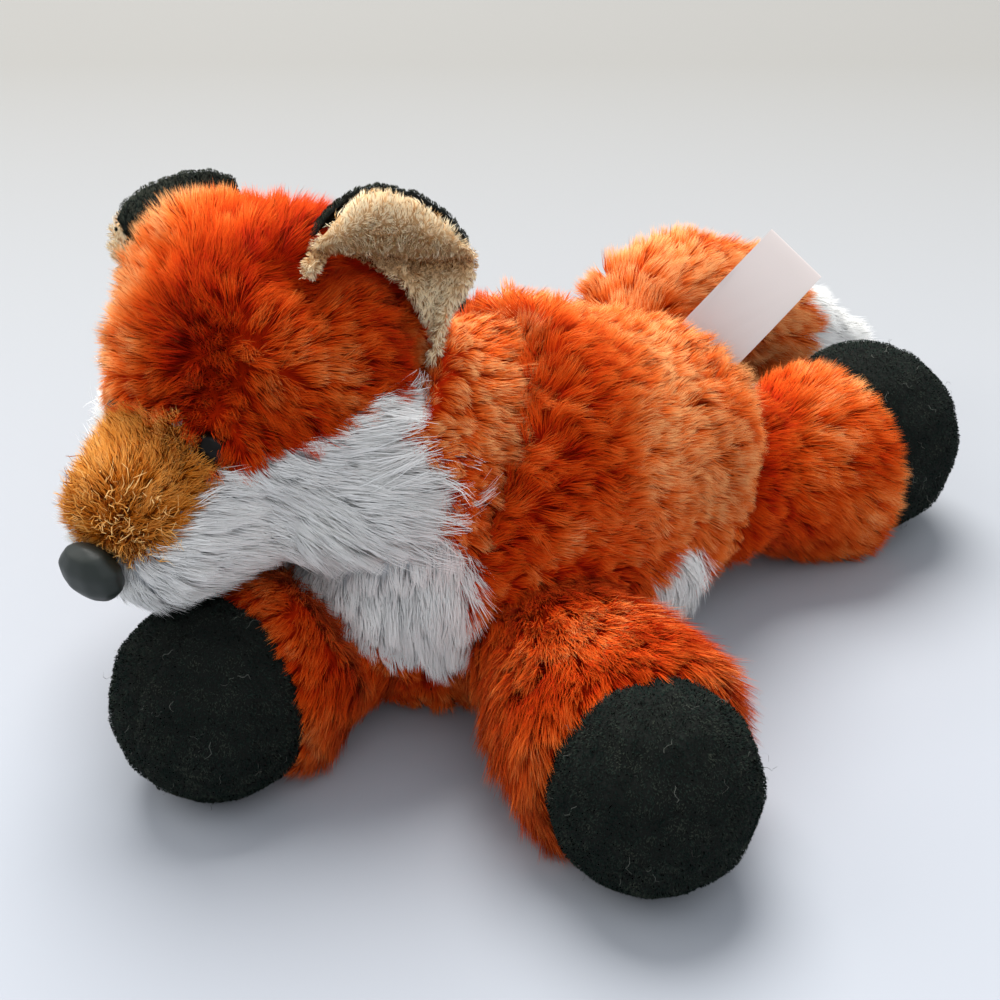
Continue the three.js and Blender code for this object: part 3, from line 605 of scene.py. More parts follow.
def swirl(co):
    """A field that turns slowly from place to place, as a brushed pile does."""
    x, y, z = co.T
    return np.stack([np.sin(410 * y + 290 * z), np.sin(350 * z + 430 * x), np.sin(390 * x + 310 * y)], 1)


def soft_step(low, high, value):
    """Rises smoothly from 0 at low to 1 at high, also where high is the smaller one."""
    t = np.clip((value - low) / (high - low), 0, 1)
    return t * t * (3 - 2 * t)


def bell(value, width):
    """1 where the value is zero, and less on either side of it."""
    return np.exp(-(value / width) ** 2)


def near(co, spot, radius):
    """1 at a spot, and less round it."""
    return bell(np.linalg.norm(co - spot, axis=1), radius)


# A line from a point is followed through this many faces at most, each time from this far past the last
MOST_FACES = 20
PAST_FACE = 1e-6


def within(name, co):
    """Which points are inside a CAD node, by the faces that a line from them crosses."""
    vertices, faces = copied([name])
    box = np.array(vertices)
    tree = BVHTree.FromPolygons(vertices, faces)
    inside = np.zeros(len(co), bool)
    way = Vector((0.31, 0.17, 0.93)).normalized()
    for i in np.nonzero(((co > box.min(0)) & (co < box.max(0))).all(1))[0]:
        spot, crossed = Vector(co[i]), 0
        while crossed < MOST_FACES:
            spot = tree.ray_cast(spot, way)[0]
            if spot is None:
                break
            crossed += 1
            spot = spot + way * PAST_FACE
        inside[i] = crossed % 2 == 1
    return inside


def room_for_pile(co, bodies, least=0.5, full=9 * MM):
    """How much of the pile's length has room before the other parts, and where it is buried in them."""
    nodes = [n for b in bodies for n in NODES_OF[b]]
    gap = distances(finder(nodes), co)
    inside = np.any([within(n, co) for n in nodes], axis=0)
    return np.where(inside, least, np.clip(gap / full, least, 1.0)), inside & (gap > BURIED)


NODES_OF = frame["record"]["behaviour"]["bodies"]
BODIES = list(NODES_OF)
# A skin this deep inside another part grows no pile
BURIED = 0.8 * MM


def pile_room(co, own, apart=()):
    """0 where this part is pressed on the others, 1 in the open, where the skin lies deep under its pile."""
    nodes = [n for b in BODIES if b != own and b not in apart for n in NODES_OF[b]]
    return soft_step(1 * MM, 9 * MM, distances(finder(nodes), co))


# Body

# The neck's middle and the way through it towards the back
NECK = np.array((12, -21.6, 73.3)) * MM
NECK_WAY = np.array((0.414, 0.766, -0.49))
LOW_FLANK = np.array((43, 16, 34)) * MM
HIGH_RUMP = np.array((40, 33, 51)) * MM
BACK_DEPTH = 5.2 * MM
NECK_CREASE = 5.5 * MM
NECK_FULLNESS = 2.0 * MM
FLANK_HOLLOW = 7.0 * MM
RUMP_FULLNESS = 2.5 * MM
# The white patch between the legs, and the end of the bib
PATCH_MIDDLE, PATCH_HALF, PATCH_TOP, PATCH_INNER = 9 * MM, 14 * MM, 31 * MM, 24 * MM
BIB_REAR, BIB_FOOT, BIB_SIDE, BIB_SLOPE = -30 * MM, 22 * MM, 2 * MM, 0.5
WHITE_OVERLAP = 2.0 * MM
BACK_BANDS = (("front", -1.0, -8 * MM), ("middle", -8 * MM, 22 * MM), ("rear", 22 * MM, 1.0))
BACK_PILE = {"Density": 1.0e7, "Tufts": 1.7e5, "Length": 9.0 * MM, "Width": 0.21 * MM, "Lean": 0.54,
             "Scatter": 0.24, "Gather": 0.72, "Patch": 46.0}
BELLY_PILE = {"Density": 8.0e6, "Tufts": 1.1e5, "Length": 10.5 * MM, "Width": 0.2 * MM, "Lean": 0.6,
              "Scatter": 0.16, "Gather": 0.6}


def sink_body(body):
    """Moves the skin in under its pile, with the neck and the low flank drawn in and the rump fuller."""
    co, _ = arrays_of(body.data)
    flat_part = soft_step(14 * MM, 3 * MM, co[:, 2])
    past_neck = (co - NECK) @ NECK_WAY
    high = soft_step(42 * MM, 54 * MM, co[:, 2])
    neck_fold = bell(past_neck, 3.2 * MM) * high
    neck_part = soft_step(3 * MM, -3 * MM, past_neck) * high
    room = 0.25 + 0.75 * pile_room(co, "body")
    low_flank = near(co, LOW_FLANK, 14 * MM)
    high_rump = near(co, HIGH_RUMP, 12 * MM)
    depth = BACK_DEPTH * room * (1 - 0.85 * flat_part) + NECK_CREASE * neck_fold - NECK_FULLNESS * neck_part
    inset(body, depth + FLANK_HOLLOW * low_flank - RUMP_FULLNESS * high_rump)
    return past_neck, neck_part, high


def belly_cloth(co):
    """1 where the body is white and 0 where it is orange."""
    x, y, z = co.T
    to_back = distances(finder(["body_back"]), co)
    to_belly = distances(finder(["body_belly"]), co)
    # The white belly shows between the front and the hind legs
    between_legs = np.exp(-((y - PATCH_MIDDLE) / PATCH_HALF) ** 4)
    flank = (np.abs(x) > PATCH_INNER) & (z < PATCH_TOP * between_legs)
    # Between the front legs the bib ends above the floor
    below_bib = (y < BIB_REAR) & (z < BIB_FOOT + BIB_SLOPE * np.maximum(0, BIB_SIDE - x))
    return (((to_belly < to_back + WHITE_OVERLAP) & ~below_bib) | flank).astype(float)


def by_label(co):
    """1 where the label is sewn in, and less round it."""
    ribbon = np.array(copied(["label"])[0])
    foot = ribbon[ribbon[:, 2] < ribbon[:, 2].min() + 6 * MM].mean(0)
    return near(co, foot, 13 * MM)


def back_painted_light(co, past_neck, neck_part, high, white):
    """Painted light and shade of the back: it is painted lighter on the neck and on its left side, and painted
    shade darkens it low down, behind the neck and on the white belly.
    """
    behind_neck = bell(past_neck - 9 * MM, 9 * MM) * high * soft_step(80 * MM, 70 * MM, co[:, 2])
    to_left = soft_step(8 * MM, 38 * MM, co @ RIGHT_PAGE)
    painted_light_and_tone = 0.16 + 0.24 * neck_part - 0.3 * behind_neck + 0.4 * to_left - 0.1 * white
    return painted_light_and_tone - 0.16 * soft_step(44 * MM, 18 * MM, co[:, 2])


def make_body():
    nodes = ["body_back", "body_belly", "body_filling", "bean_pouch"]
    body = solid_from("body_skin", nodes, voxel=2.6 * MM, rounds=14)
    stuffed(body, cap=1.2 * MM)
    past_neck, neck_part, high = sink_body(body)
    co, normal = arrays_of(body.data)
    white = belly_cloth(co)
    shaded(body, ORANGE_CLOTH, WHITE_CLOTH)
    paint(body, white)
    press, buried = room_for_pile(co, [b for b in BODIES if b != "body"])
    under = (normal[:, 2] < -0.55) & (co[:, 2] < 4 * MM)
    wish = np.tile((0.18, 1.0, -0.35), (len(co), 1))
    wish += np.array((0, 0, -0.7)) * soft_step(45 * MM, 20 * MM, co[:, 2])[:, None]
    wish += np.array((0.9, 0.2, -0.5)) * neck_part[:, None]
    wish += 0.45 * swirl(co)
    wish = wish * (1 - white)[:, None] + np.array((0.3, -0.25, -1.0)) * white[:, None]
    raised = by_label(co)
    lay(body, wish, 1.0 - 0.3 * raised, press * (1 + 0.05 * neck_part + 0.5 * raised),
        back_painted_light(co, past_neck, neck_part, high, white))
    shown = (~buried & ~under).astype(float)
    for band, start, end in BACK_BANDS:
        part = (1 - white) * (co[:, 1] >= start) * (co[:, 1] < end)
        grow(f"back_pile_{band}", body, "body", "orange_plush", ORANGE, part * shown, **BACK_PILE)
    grow("belly_pile", body, "body", "white_plush", WHITE, white * shown, **BELLY_PILE)
    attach(body, "body")
    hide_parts("body_back", "body_belly", "body_filling")


make_body()

# Head

# Places on the head are taken from its middle
WHORL = np.array((5, -30, 16)) * MM
CROWN_DEPTH, CHEEK_DEPTH, MUZZLE_DEPTH = 5.6 * MM, 2.2 * MM, 3.0 * MM
FAR_JOWL_DEPTH, BY_EAR_DEPTH, BEHIND_EAR_RISE = 3.0 * MM, 6.0 * MM, 3.4 * MM
CROWN_PILE = {"Density": 1.3e7, "Tufts": 1.7e5, "Length": 10.0 * MM, "Width": 0.19 * MM, "Lean": 0.55,
              "Scatter": 0.22, "Gather": 0.64, "Patch": 44.0}
CHEEK_PILE = {"Density": 1.0e7, "Tufts": 1.2e5, "Length": 11.5 * MM, "Width": 0.2 * MM, "Lean": 0.55,
              "Scatter": 0.14, "Gather": 0.55}
RUFF_PILE = {"Density": 9.0e5, "Tufts": 3e4, "Length": 18 * MM, "Width": 0.22 * MM, "Lean": 0.6,
             "Scatter": 0.26, "Gather": 0.86, "Curl": 0.35 * MM, "Steps": 5}
MUZZLE_PILE = {"Density": 1.5e7, "Tufts": 4e5, "Length": 7.0 * MM, "Width": 0.2 * MM, "Lean": 0.42,
               "Scatter": 0.28, "Gather": 0.5, "Patch": 90.0}
MUZZLE_CURLS = {"Density": 2.5e6, "Tufts": 3e5, "Length": 8.5 * MM, "Width": 0.34 * MM, "Lean": 0.4,
                "Scatter": 0.5, "Gather": 0.6, "Curl": 0.6 * MM, "Steps": 6, "Patch": 110.0}


def face_parts(co):
    """Which cloth of the head each point is in: 0 orange, 1 white, 2 tan. Its lines are in millimetres."""
    x, y, z = ((co - HEAD) / MM).T
    muzzle_end, muzzle_top = -32, 4
    tan = (y < muzzle_end) & (z > 18 + 0.78 * y) & (z < muzzle_top)
    # The jowl's upper line rises from the muzzle to below the ear and falls behind it
    line = np.where(y < 3, 5.2 + 0.34 * y, 6.2 - 0.9 * (y - 3)) - 9.0 * soft_step(8, -8, x)
    orange = (y >= muzzle_end) & (z > line) | (z >= muzzle_top)
    return np.where(tan, 2, np.where(orange, 0, 1))


def ear_gaps(co):
    """How near each point is to the front of the left ear, and to the back of either ear."""
    front = distances(finder(["ear_lining_left"]), co)
    back = distances(finder(["ear_back_left", "ear_back_right"]), co)
    nearer_back = back < front
    return bell(front, 8 * MM) * ~nearer_back, bell(back, 7 * MM) * nearer_back


def to_eyes(co):
    return distances(finder(["eye_left", "eye_right"]), co)


def sink_head(head):
    """Moves the skin in under its pile, less by the eyes and where it is pressed on the body."""
    co, _ = arrays_of(head.data)
    region = face_parts(co)
    depth = np.select([region == 0, region == 1], [CROWN_DEPTH, CHEEK_DEPTH], MUZZLE_DEPTH)
    depth = depth * (0.25 + 0.75 * soft_step(1 * MM, 9 * MM, to_eyes(co)))
    depth = depth * (0.2 + 0.8 * pile_room(co, "head", ("ear_left", "ear_right")))
    x, _, z = (co - HEAD).T
    far_jowl = soft_step(-20 * MM, -32 * MM, x) * soft_step(-18 * MM, -10 * MM, z) * soft_step(8 * MM, 0, z)
    by_ear, behind_ear = ear_gaps(co)
    inset(head, depth + FAR_JOWL_DEPTH * far_jowl + BY_EAR_DEPTH * by_ear - BEHIND_EAR_RISE * behind_ear)
    applied(head, "SMOOTH", factor=0.5, iterations=4)


def comb_head(head, crown, cheeks, bridge, press, nose_gap):
    """Lays the pile of the head. The crown's runs out from a whorl on the forehead."""
    co, _ = arrays_of(head.data)
    from_head = co - HEAD
    x, y, z = from_head.T
    side_of = np.sign(x)
    rear = soft_step(-26 * MM, 2 * MM, y)
    wish = from_head - WHORL
    near_whorl = np.linalg.norm(wish, axis=1)
    wish /= np.maximum(near_whorl, 1e-6)[:, None]
    wish += np.stack([0.3 * side_of, np.full(len(co), 0.1), -0.5 * rear], 1) * rear[:, None]
    wish += 0.4 * swirl(from_head)
    lift = np.clip((z + 19 * MM) / (16 * MM), -1, 1) * rear
    cheek_wish = np.stack([side_of * (0.3 + 0.8 * rear), 0.9 - 0.2 * rear, 0.5 * lift - 0.3], 1)
    bridge_wish = np.stack([0.35 * side_of, np.full(len(co), 0.8), np.full(len(co), 0.15)], 1)
    wish = wish * crown[:, None] + cheek_wish * cheeks[:, None] + bridge_wish * bridge[:, None]

    by_ear, behind_ear = ear_gaps(co)
    near_side = soft_step(10 * MM, 26 * MM, np.abs(x))
    comb = crown * (0.12 + 0.88 * soft_step(0, 26 * MM, near_whorl)) * (1 - 0.25 * near_side)
    comb = (comb + 1.15 * cheeks + 0.8 * bridge) * (1 - 0.5 * behind_ear)

    tips = soft_step(26 * MM, 40 * MM, np.abs(x)) * rear
    brow = soft_step(-20 * MM, -31 * MM, y) * soft_step(16 * MM, 5 * MM, z)
    far_jowl = soft_step(-16 * MM, -26 * MM, x) * soft_step(-18 * MM, -10 * MM, z) * cheeks
    jowl_low = soft_step(-16 * MM, -22 * MM, z) * soft_step(-40 * MM, -30 * MM, y) * cheeks
    length = crown * (1 - 0.2 * near_side) * (1 - 0.5 * brow)
    length = length + cheeks * (0.72 + 0.28 * rear + 0.4 * tips) + bridge
    length = length * np.maximum(press, 0.55) * (0.4 + 0.6 * soft_step(1 * MM, 7 * MM, nose_gap))
    length = length * (1 - 0.65 * by_ear + 0.15 * behind_ear) * (1 - 0.4 * far_jowl) * (1 + 0.35 * jowl_low)

    # Painted light and shade: the crown is painted lightest on its right and behind, and painted darkest on its
    # left and on top
    painted_light_and_tone = crown * (0.75 * soft_step(6 * MM, -22 * MM, x) - 0.14 * soft_step(0, 24 * MM, x))
    painted_light_and_tone += crown * (0.55 * soft_step(2 * MM, 18 * MM, y) * near_side - 0.05)
    painted_light_and_tone -= crown * 0.14 * soft_step(10 * MM, 28 * MM, z) * soft_step(-26 * MM, -10 * MM, x)
    lay(head, wish, comb, length, painted_light_and_tone)
    return painted_light_and_tone


def make_head():
    nodes = ["head_crown", "muzzle_bridge", "cheeks_and_chin", "head_filling",
             "nose_washer", "eye_washer_left", "eye_washer_right"]
    head = solid_from("head_skin", nodes, voxel=2.2 * MM, rounds=12)
    stuffed(head, cap=1.0 * MM)
    sink_head(head)
    co, _ = arrays_of(head.data)
    x, y, _ = (co - HEAD).T
    region = face_parts(co)
    shaded(head, ORANGE_CLOTH, WHITE_CLOTH, TAN_CLOTH)
    paint(head, region)
    crown, cheeks, bridge = [(region == number).astype(float) for number in range(3)]
    press, buried = room_for_pile(co, [b for b in BODIES if b not in ("head", "ear_left", "ear_right")])
    nose_gap = distances(finder(["nose"]), co)
    painted_light_and_tone = comb_head(head, crown, cheeks, bridge, press, nose_gap)
    shown = (~buried & (nose_gap > 0.4 * MM) & (to_eyes(co) > 0.2 * MM)).astype(float)
    for side, part in (("left", x >= 0), ("right", x < 0)):
        grow(f"crown_pile_{side}", head, "head", "orange_plush", ORANGE, crown * shown * part, **CROWN_PILE)
    grow("cheek_pile", head, "head", "white_plush", WHITE, cheeks * shown, **CHEEK_PILE)
    ruff = soft_step(-18 * MM, -6 * MM, y) * soft_step(20 * MM, 28 * MM, np.abs(x))
    grow("ruff_pile", head, "head", "white_plush", WHITE, cheeks * shown * ruff, **RUFF_PILE)
    grow("muzzle_pile", head, "head", "tan_plush", TAN, bridge * shown, **MUZZLE_PILE)
    by_nose = soft_step(13 * MM, 6 * MM, nose_gap)
    store(head.data, "painted_light_and_tone", painted_light_and_tone + 0.3)
    grow("muzzle_curls", head, "head", "tan_plush", TAN, bridge * shown * by_nose, **MUZZLE_CURLS)
    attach(head, "head")
    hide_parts("head_crown", "muzzle_bridge", "cheeks_and_chin", "head_filling")


make_head()

# Legs and paws

SEAM_WIDTH = 0.9 * MM
SEAM_DEPTH = 0.8 * MM
PAW_SWELL = {"front": 0.8 * MM, "hind": 2.0 * MM}
PAW_FLOOR = 0.2 * MM
# The left hind paw is seen a little higher and nearer the body
HIND_LEFT_SHIFT = np.array((-2.4, -0.6, 1.4)) * MM
SLEEVE_DEPTH = {"front": 2.4 * MM, "hind": 4.4 * MM}
PAW_NAP = {"Tufts": 4e5, "Length": 0.9 * MM, "Width": 0.28 * MM, "Lean": 0.4, "Scatter": 0.6, "Gather": 0.3,
           "Curl": 0.1 * MM, "Patch": 200.0}
PAW_NAP_DENSITY = {"front": 6.5e6, "hind": 5.0e6}
PAW_LINT = {"Density": 1.6e4, "Tufts": 3e4, "Length": 3.4 * MM, "Width": 0.09 * MM, "Lean": 0.4,
            "Scatter": 0.9, "Gather": 0.0, "Curl": 0.7 * MM, "Steps": 7, "Tip": 0.8}
LINT_COMB = 2.3
LEG_PILE = {"Tufts": 1.6e5, "Length": 9.0 * MM, "Width": 0.21 * MM, "Lean": 0.5, "Scatter": 0.22,
            "Gather": 0.56, "Patch": 44.0}
# The right hind leg, which the body hides, has a thinner pile
LEG_DENSITY = {"front_left": 1.0e7, "front_right": 1.0e7, "hind_left": 1.0e7, "hind_right": 8.0e6}


def dress_paw(paw, name, pair, middle, run):
    """Draws the fleece in at the seam over the paw, and grows its nap and lint."""
    part = "leg_" + name
    co, normal = arrays_of(paw.data)
    off_seam = (co - middle) @ np.array((-run[1], run[0], 0.0))
    co += normal * (PAW_SWELL[pair] - SEAM_DEPTH * bell(off_seam, SEAM_WIDTH))[:, None]
    if name == "hind_left":
        co += HIND_LEFT_SHIFT
    co[:, 2] = np.maximum(co[:, 2], PAW_FLOOR)
    place_vertices(paw.data, co)
    shaded(paw, BLACK_FLEECE)
    lay(paw, np.tile((0.0, 0.0, -1.0), (len(co), 1)), 1.0, 1.0 - 0.6 * bell(off_seam, SEAM_WIDTH))
    outer = ((co - middle) * normal).sum(1) > 0
    cover = (outer & ~(co[:, 2] < 0.8 * MM)).astype(float)
    grow(f"{name}_paw_nap", paw, part, "black_fleece", BLACK, cover, Density=PAW_NAP_DENSITY[pair], **PAW_NAP)
    store(paw.data, "comb", np.full(len(co), LINT_COMB))
    grow(f"{name}_paw_lint", paw, part, "black_fleece", LINT, cover, **PAW_LINT)
    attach(paw, part)
    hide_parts(f"paw_left_half_{name}", f"paw_right_half_{name}")


def dress_sleeve(sleeve, name, pair, paws, root, middle, run):
    """Sinks the sleeve under its pile and combs that towards the paw."""
    part = "leg_" + name
    co, normal = arrays_of(sleeve.data)
    room = 0.2 + 0.8 * pile_room(co, part)
    by_paw = soft_step(0.0, 0.8, normal @ RIGHT_PAGE) * (name == "front_left")
    depth = SLEEVE_DEPTH[pair] * (1 - 0.9 * by_paw)
    inset(sleeve, depth * room * soft_step(0, 12 * MM, co[:, 2]))
    co, normal = arrays_of(sleeve.data)
    shaded(sleeve, ORANGE_CLOTH)
    press, buried = room_for_pile(co, [b for b in BODIES if b != part], least=0.85)
    core = distances(finder(paws), co)
    under = (normal[:, 2] < -0.5) & (co[:, 2] < 4 * MM)
    end = (co - root) @ run > (middle - root) @ run - 8 * MM
    hidden = buried | under | ((core < 2.0 * MM) & end)
    fuller = soft_step(0.1, 0.9, -normal @ RIGHT_PAGE) * (pair == "front")
    fuller += 1.3 * soft_step(0.0, 0.8, normal @ RIGHT_PAGE) * (name == "front_left")
    # The leg's pile is a little lighter, and painted shade darkens it low down towards the floor
    lay(sleeve, np.tile(run + np.array((0, 0, -0.6)), (len(co), 1)), 1.25,
        press * (0.65 + 0.35 * soft_step(0, 9 * MM, core)) * (1 + 0.35 * fuller),
        0.05 - 0.1 * soft_step(30 * MM, 8 * MM, co[:, 2]))
    grow(f"{name}_leg_pile", sleeve, part, "orange_plush", ORANGE, (~hidden).astype(float),
         Density=LEG_DENSITY[name], **LEG_PILE)
    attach(sleeve, part)
    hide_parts(f"leg_sleeve_{name}", f"leg_filling_{name}")


def make_leg(name, root):
    pair = name.split("_")[0]
    paws = [f"paw_left_half_{name}", f"paw_right_half_{name}"]
    nodes = [f"leg_sleeve_{name}", f"leg_filling_{name}"]
    sleeve = solid_from(f"{name}_leg_skin", nodes, voxel=2.4 * MM, rounds=10)
    stuffed(sleeve, cap=1.0 * MM)
    paw = solid_from(f"{name}_paw", paws, voxel=1.4 * MM, rounds=4)
    co, _ = arrays_of(paw.data)
    middle = (co.min(0) + co.max(0)) / 2
    run = middle - root
    run[2] = 0
    run /= np.linalg.norm(run)
    dress_paw(paw, name, pair, middle, run)
    dress_sleeve(sleeve, name, pair, paws, root, middle, run)


for joint in frame["joints"]:
    if joint["child"].startswith("leg_"):
        make_leg(joint["child"].removeprefix("leg_"), np.array(joint["pos_m"]))

# Tail

TAIL_DEPTH = 5.5 * MM
WHITE_END = 124 * MM
# The line through the tail, from its root to its tip
TAIL_LINE = np.array(((-9, 56, 46), (-15, 75, 49), (-12, 103, 41), (-4, 130, 25), (6, 151, 11))) * MM
# The tail's pile is painted lighter all over, as painted light
TAIL_PAINTED_LIGHT = 0.44
TAIL_PILE = {"Density": 1.0e7, "Tufts": 1.2e5, "Length": 10 * MM, "Width": 0.21 * MM, "Lean": 0.52,
             "Scatter": 0.24, "Gather": 0.7, "Patch": 42.0}
TAIL_TIP_PILE = {"Density": 8e6, "Tufts": 7e4, "Length": 10 * MM, "Width": 0.2 * MM, "Lean": 0.55,
                 "Scatter": 0.2, "Gather": 0.6}


def make_tail():
    nodes = ["tail_sleeve", "tail_tip", "tail_filling"]
    tail = solid_from("tail_skin", nodes, voxel=2.4 * MM, rounds=10)
    stuffed(tail, cap=1.0 * MM)
    co, _ = arrays_of(tail.data)
    inset(tail, TAIL_DEPTH * soft_step(-4 * MM, 14 * MM, co[:, 2]))
    co, normal = arrays_of(tail.data)
    tip = (co[:, 1] > WHITE_END).astype(float)
    shaded(tail, ORANGE_CLOTH, WHITE_CLOTH)
    paint(tail, tip)
    press, buried = room_for_pile(co, [b for b in BODIES if b != "tail"], least=0.6)
    under = (normal[:, 2] < -0.5) & (co[:, 2] < 4 * MM)
    shown = (~under & ~buried).astype(float)
    nearest = np.argmin(((co[:, None, :] - TAIL_LINE[None, :-1, :]) ** 2).sum(2), axis=1)
    wish = (TAIL_LINE[1:] - TAIL_LINE[:-1])[nearest]
    wish /= np.linalg.norm(wish, axis=1, keepdims=True)
    lay(tail, wish, 1.0, press, TAIL_PAINTED_LIGHT)
    grow("tail_pile", tail, "tail", "orange_plush", ORANGE, (1 - tip) * shown, **TAIL_PILE)
    grow("tail_tip_pile", tail, "tail", "white_plush", WHITE, tip * shown, **TAIL_TIP_PILE)
    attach(tail, "tail")
    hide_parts("tail_sleeve", "tail_tip", "tail_filling")


make_tail()

# Ears

# Each ear ply is a flap with a round top
# The left ear folds about a line through this point, and its lining rolls out this way
FOLD = np.array((-0.6, -25.1, 99.7)) * MM
OUT = np.array((0.55, -0.72, 0.42))
EDGE_DROP, EDGE_SIDE, EDGE_HALF = 9 * MM, 11.5 * MM, 11 * MM
ROLL_OUT, ROLL_DOWN, ROLL_HEIGHT, ROLL_HALF = 4.5 * MM, 2.5 * MM, 8.0 * MM, 3.6 * MM
HOLLOW_IN, HOLLOW_HEIGHT, HOLLOW_HALF = 2.0 * MM, 1.8 * MM, 2.0 * MM
LOBE_OUT = 1.5 * MM
# The far ear folds forward, so that its black back shows, and sits high in the pile
FAR_EAR = np.mean(copied(["ear_lining_right", "ear_back_right"])[0], axis=0)
FAR_FLOP = Matrix.Rotation(math.radians(38), 3, RIGHT_PAGE)
FAR_TURN = Matrix.Rotation(math.radians(-25), 3, TO_VIEWER) @ FAR_FLOP
FAR_SCALE = 0.95
FAR_SHIFT = (3.0 * TO_VIEWER + 1.8 * RIGHT_PAGE - 1.8 * UP_PAGE) * MM
FAR_LINING_SCALE = 0.85
FAR_LINING_SHIFT = 1.2 * MM
EAR_NAP = {"Density": 2.2e7, "Tufts": 9e5, "Width": 0.18 * MM, "Lean": 0.4, "Scatter": 0.36, "Gather": 0.6,
           "Patch": 110.0}
# Cloth, pile, slot, length of the nap and how much the ply is grown
EAR_PLIES = {
    "lining": (CREAM_FLEECE, CREAM, "cream_fleece", 2.2 * MM, 0.5 * MM),
    "back": (BLACK_FLEECE, BLACK, "black_fleece", 1.0 * MM, -0.5 * MM),
}
OTHER_PLY = {"lining": "back", "back": "lining"}


def fold_left_ear(co, rolled):
    """The lining rolls forward over a hollow. Gives how deep in the hollow each point is."""
    # Its lower edge reaches down over the pile of the crown
    low = soft_step(5 * MM, 0.5 * MM, distances(finder(["head_crown"]), co))
    drop = EDGE_DROP * bell((co - FOLD) @ RIGHT_PAGE + EDGE_SIDE, EDGE_HALF) * low
    co -= UP_PAGE * drop[:, None]
    above = (co - FOLD) @ UP_PAGE
    roll = bell(above - ROLL_HEIGHT, ROLL_HALF) * rolled
    hollow = bell(above - HOLLOW_HEIGHT, HOLLOW_HALF)
    lobe = soft_step(1 * MM, -3 * MM, above)
    push = roll * ROLL_OUT - hollow * HOLLOW_IN + lobe * LOBE_OUT
    co += OUT * push[:, None] - UP_PAGE * (roll * ROLL_DOWN)[:, None]
    return hollow


def turn_far_ear(co, is_lining):
    """Where the points of the right ear go. Its lining is smaller and shows at the lower left only."""
    co = FAR_EAR + FAR_SCALE * (co - FAR_EAR) @ np.array(FAR_TURN).T
    co += FAR_SHIFT
    if is_lining:
        middle = co.mean(0)
        co = middle + FAR_LINING_SCALE * (co - middle) - (RIGHT_PAGE + UP_PAGE) * FAR_LINING_SHIFT
    return co


def make_ply(side, layer):
    part = "ear_" + side
    node = f"ear_{layer}_{side}"
    cloth, pile, slot, nap_length, grown = EAR_PLIES[layer]
    ply = solid_from(f"{node}_cloth", [node], voxel=0.8 * MM, rounds=5)
    co, normal = arrays_of(ply.data)
    other = finder([f"ear_{OTHER_PLY[layer]}_{side}"])
    outer = distances(other, co + normal * 0.5 * MM) > distances(other, co) + 0.05 * MM
    co += normal * grown
    hollow = np.zeros(len(co))
    above = (co - FOLD) @ UP_PAGE
    if side == "left":
        hollow = fold_left_ear(co, float(layer == "lining"))
    else:
        co = turn_far_ear(co, layer == "lining")
    place_vertices(ply.data, co)
    shaded(ply, cloth)
    upward = soft_step(0, 5 * MM, above)[:, None]
    wish = np.array((0.2, -0.3, -0.9)) * (1 - upward) + np.array((-0.1, 0.1, 1.0)) * upward
    # The nap is painted lighter all over as painted light, and painted shade darkens it in the hollow under the
    # roll
    lay(ply, wish, 1.0, 1.0 - 0.4 * hollow, 0.52 - 1.1 * hollow)
    grow(f"{node}_nap", ply, part, slot, pile, outer.astype(float), Length=nap_length, **EAR_NAP)
    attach(ply, part)
    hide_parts(node)


for side in SIDES:
    for layer in EAR_PLIES:
        make_ply(side, layer)

# Nose and eyes


def button(name, node, plastic, voxel, rounds):
    thing = solid_from(name, [node], voxel, rounds)
    shaded(thing, plastic)
    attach(thing, "head")
    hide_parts(node)


button("nose_button", "nose", NOSE_PLASTIC, voxel=0.6 * MM, rounds=8)
for side in SIDES:
    button(f"eye_button_{side}", f"eye_{side}", EYE_PLASTIC, voxel=0.4 * MM, rounds=4)

# Label

RIBBON_BOW = 2.0 * MM
RIBBON_DROOP = 2.5 * MM
EDGE_ANGLE = 0.7


def bend_ribbon(thing):
    """The ribbon bows in the middle and its free upper end droops."""
    co, _ = arrays_of(thing.data)
    middle = co.mean(0)
    long_way, _, flat_way = np.linalg.svd(co - middle, full_matrices=False)[2]
    along = (co - middle) @ (long_way * np.sign(long_way[2]))
    share = (along - along.min()) / np.ptp(along)
    bow = RIBBON_BOW * np.sin(math.pi * share) - RIBBON_DROOP * share ** 2
    co += (flat_way * np.sign(flat_way @ TO_VIEWER)) * bow[:, None]
    place_vertices(thing.data, co)


def make_label():
    label = new_object("label_ribbon", *copied(["label"]))
    applied(label, "WELD", merge_threshold=WELD_GAP)
    applied(label, "SUBSURF", subdivision_type="SIMPLE", levels=3)
    bend_ribbon(label)
    shaded(label, SATIN)
    label.data.set_sharp_from_angle(angle=EDGE_ANGLE)
    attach(label, "body")
    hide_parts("label")


make_label()

# Floor, light and camera

AWAY = Vector((-0.5736, 0.8192, 0.0))
SIDE = Vector(RIGHT_PAGE)
FLOOR_HALF = 30
# The grey of the floor runs from the toy to the back, and fades to white in the distance
GREY_FROM, GREY_TO = -0.05, 0.42
GREYS = linear(169, 173, 180), linear(142, 141, 138)
WHITE_FROM, WHITE_TO = 0.9, 4.0
DISTANCE_WHITE = linear(246, 247, 249)
# Each light's place away, to the side and up, what it looks at, its size, its power and its colour
LIGHTS = {
    "window": ((0.8, -0.15, 1.5), (0, 0, 0.04), 1.3, 46.0, (1.0, 0.985, 0.96)),
    "room": ((-0.9, 0.3, 1.2), (0, 0, 0.04), 1.4, 4.0, (0.9, 0.95, 1.0)),
    "fill": ((0.1, -1.0, 0.7), (-0.03, 0, 0.06), 0.9, 4.0, (1.0, 0.97, 0.93)),
}
CAMERA_PLACE = (0.20198, -0.29895, 0.25162)


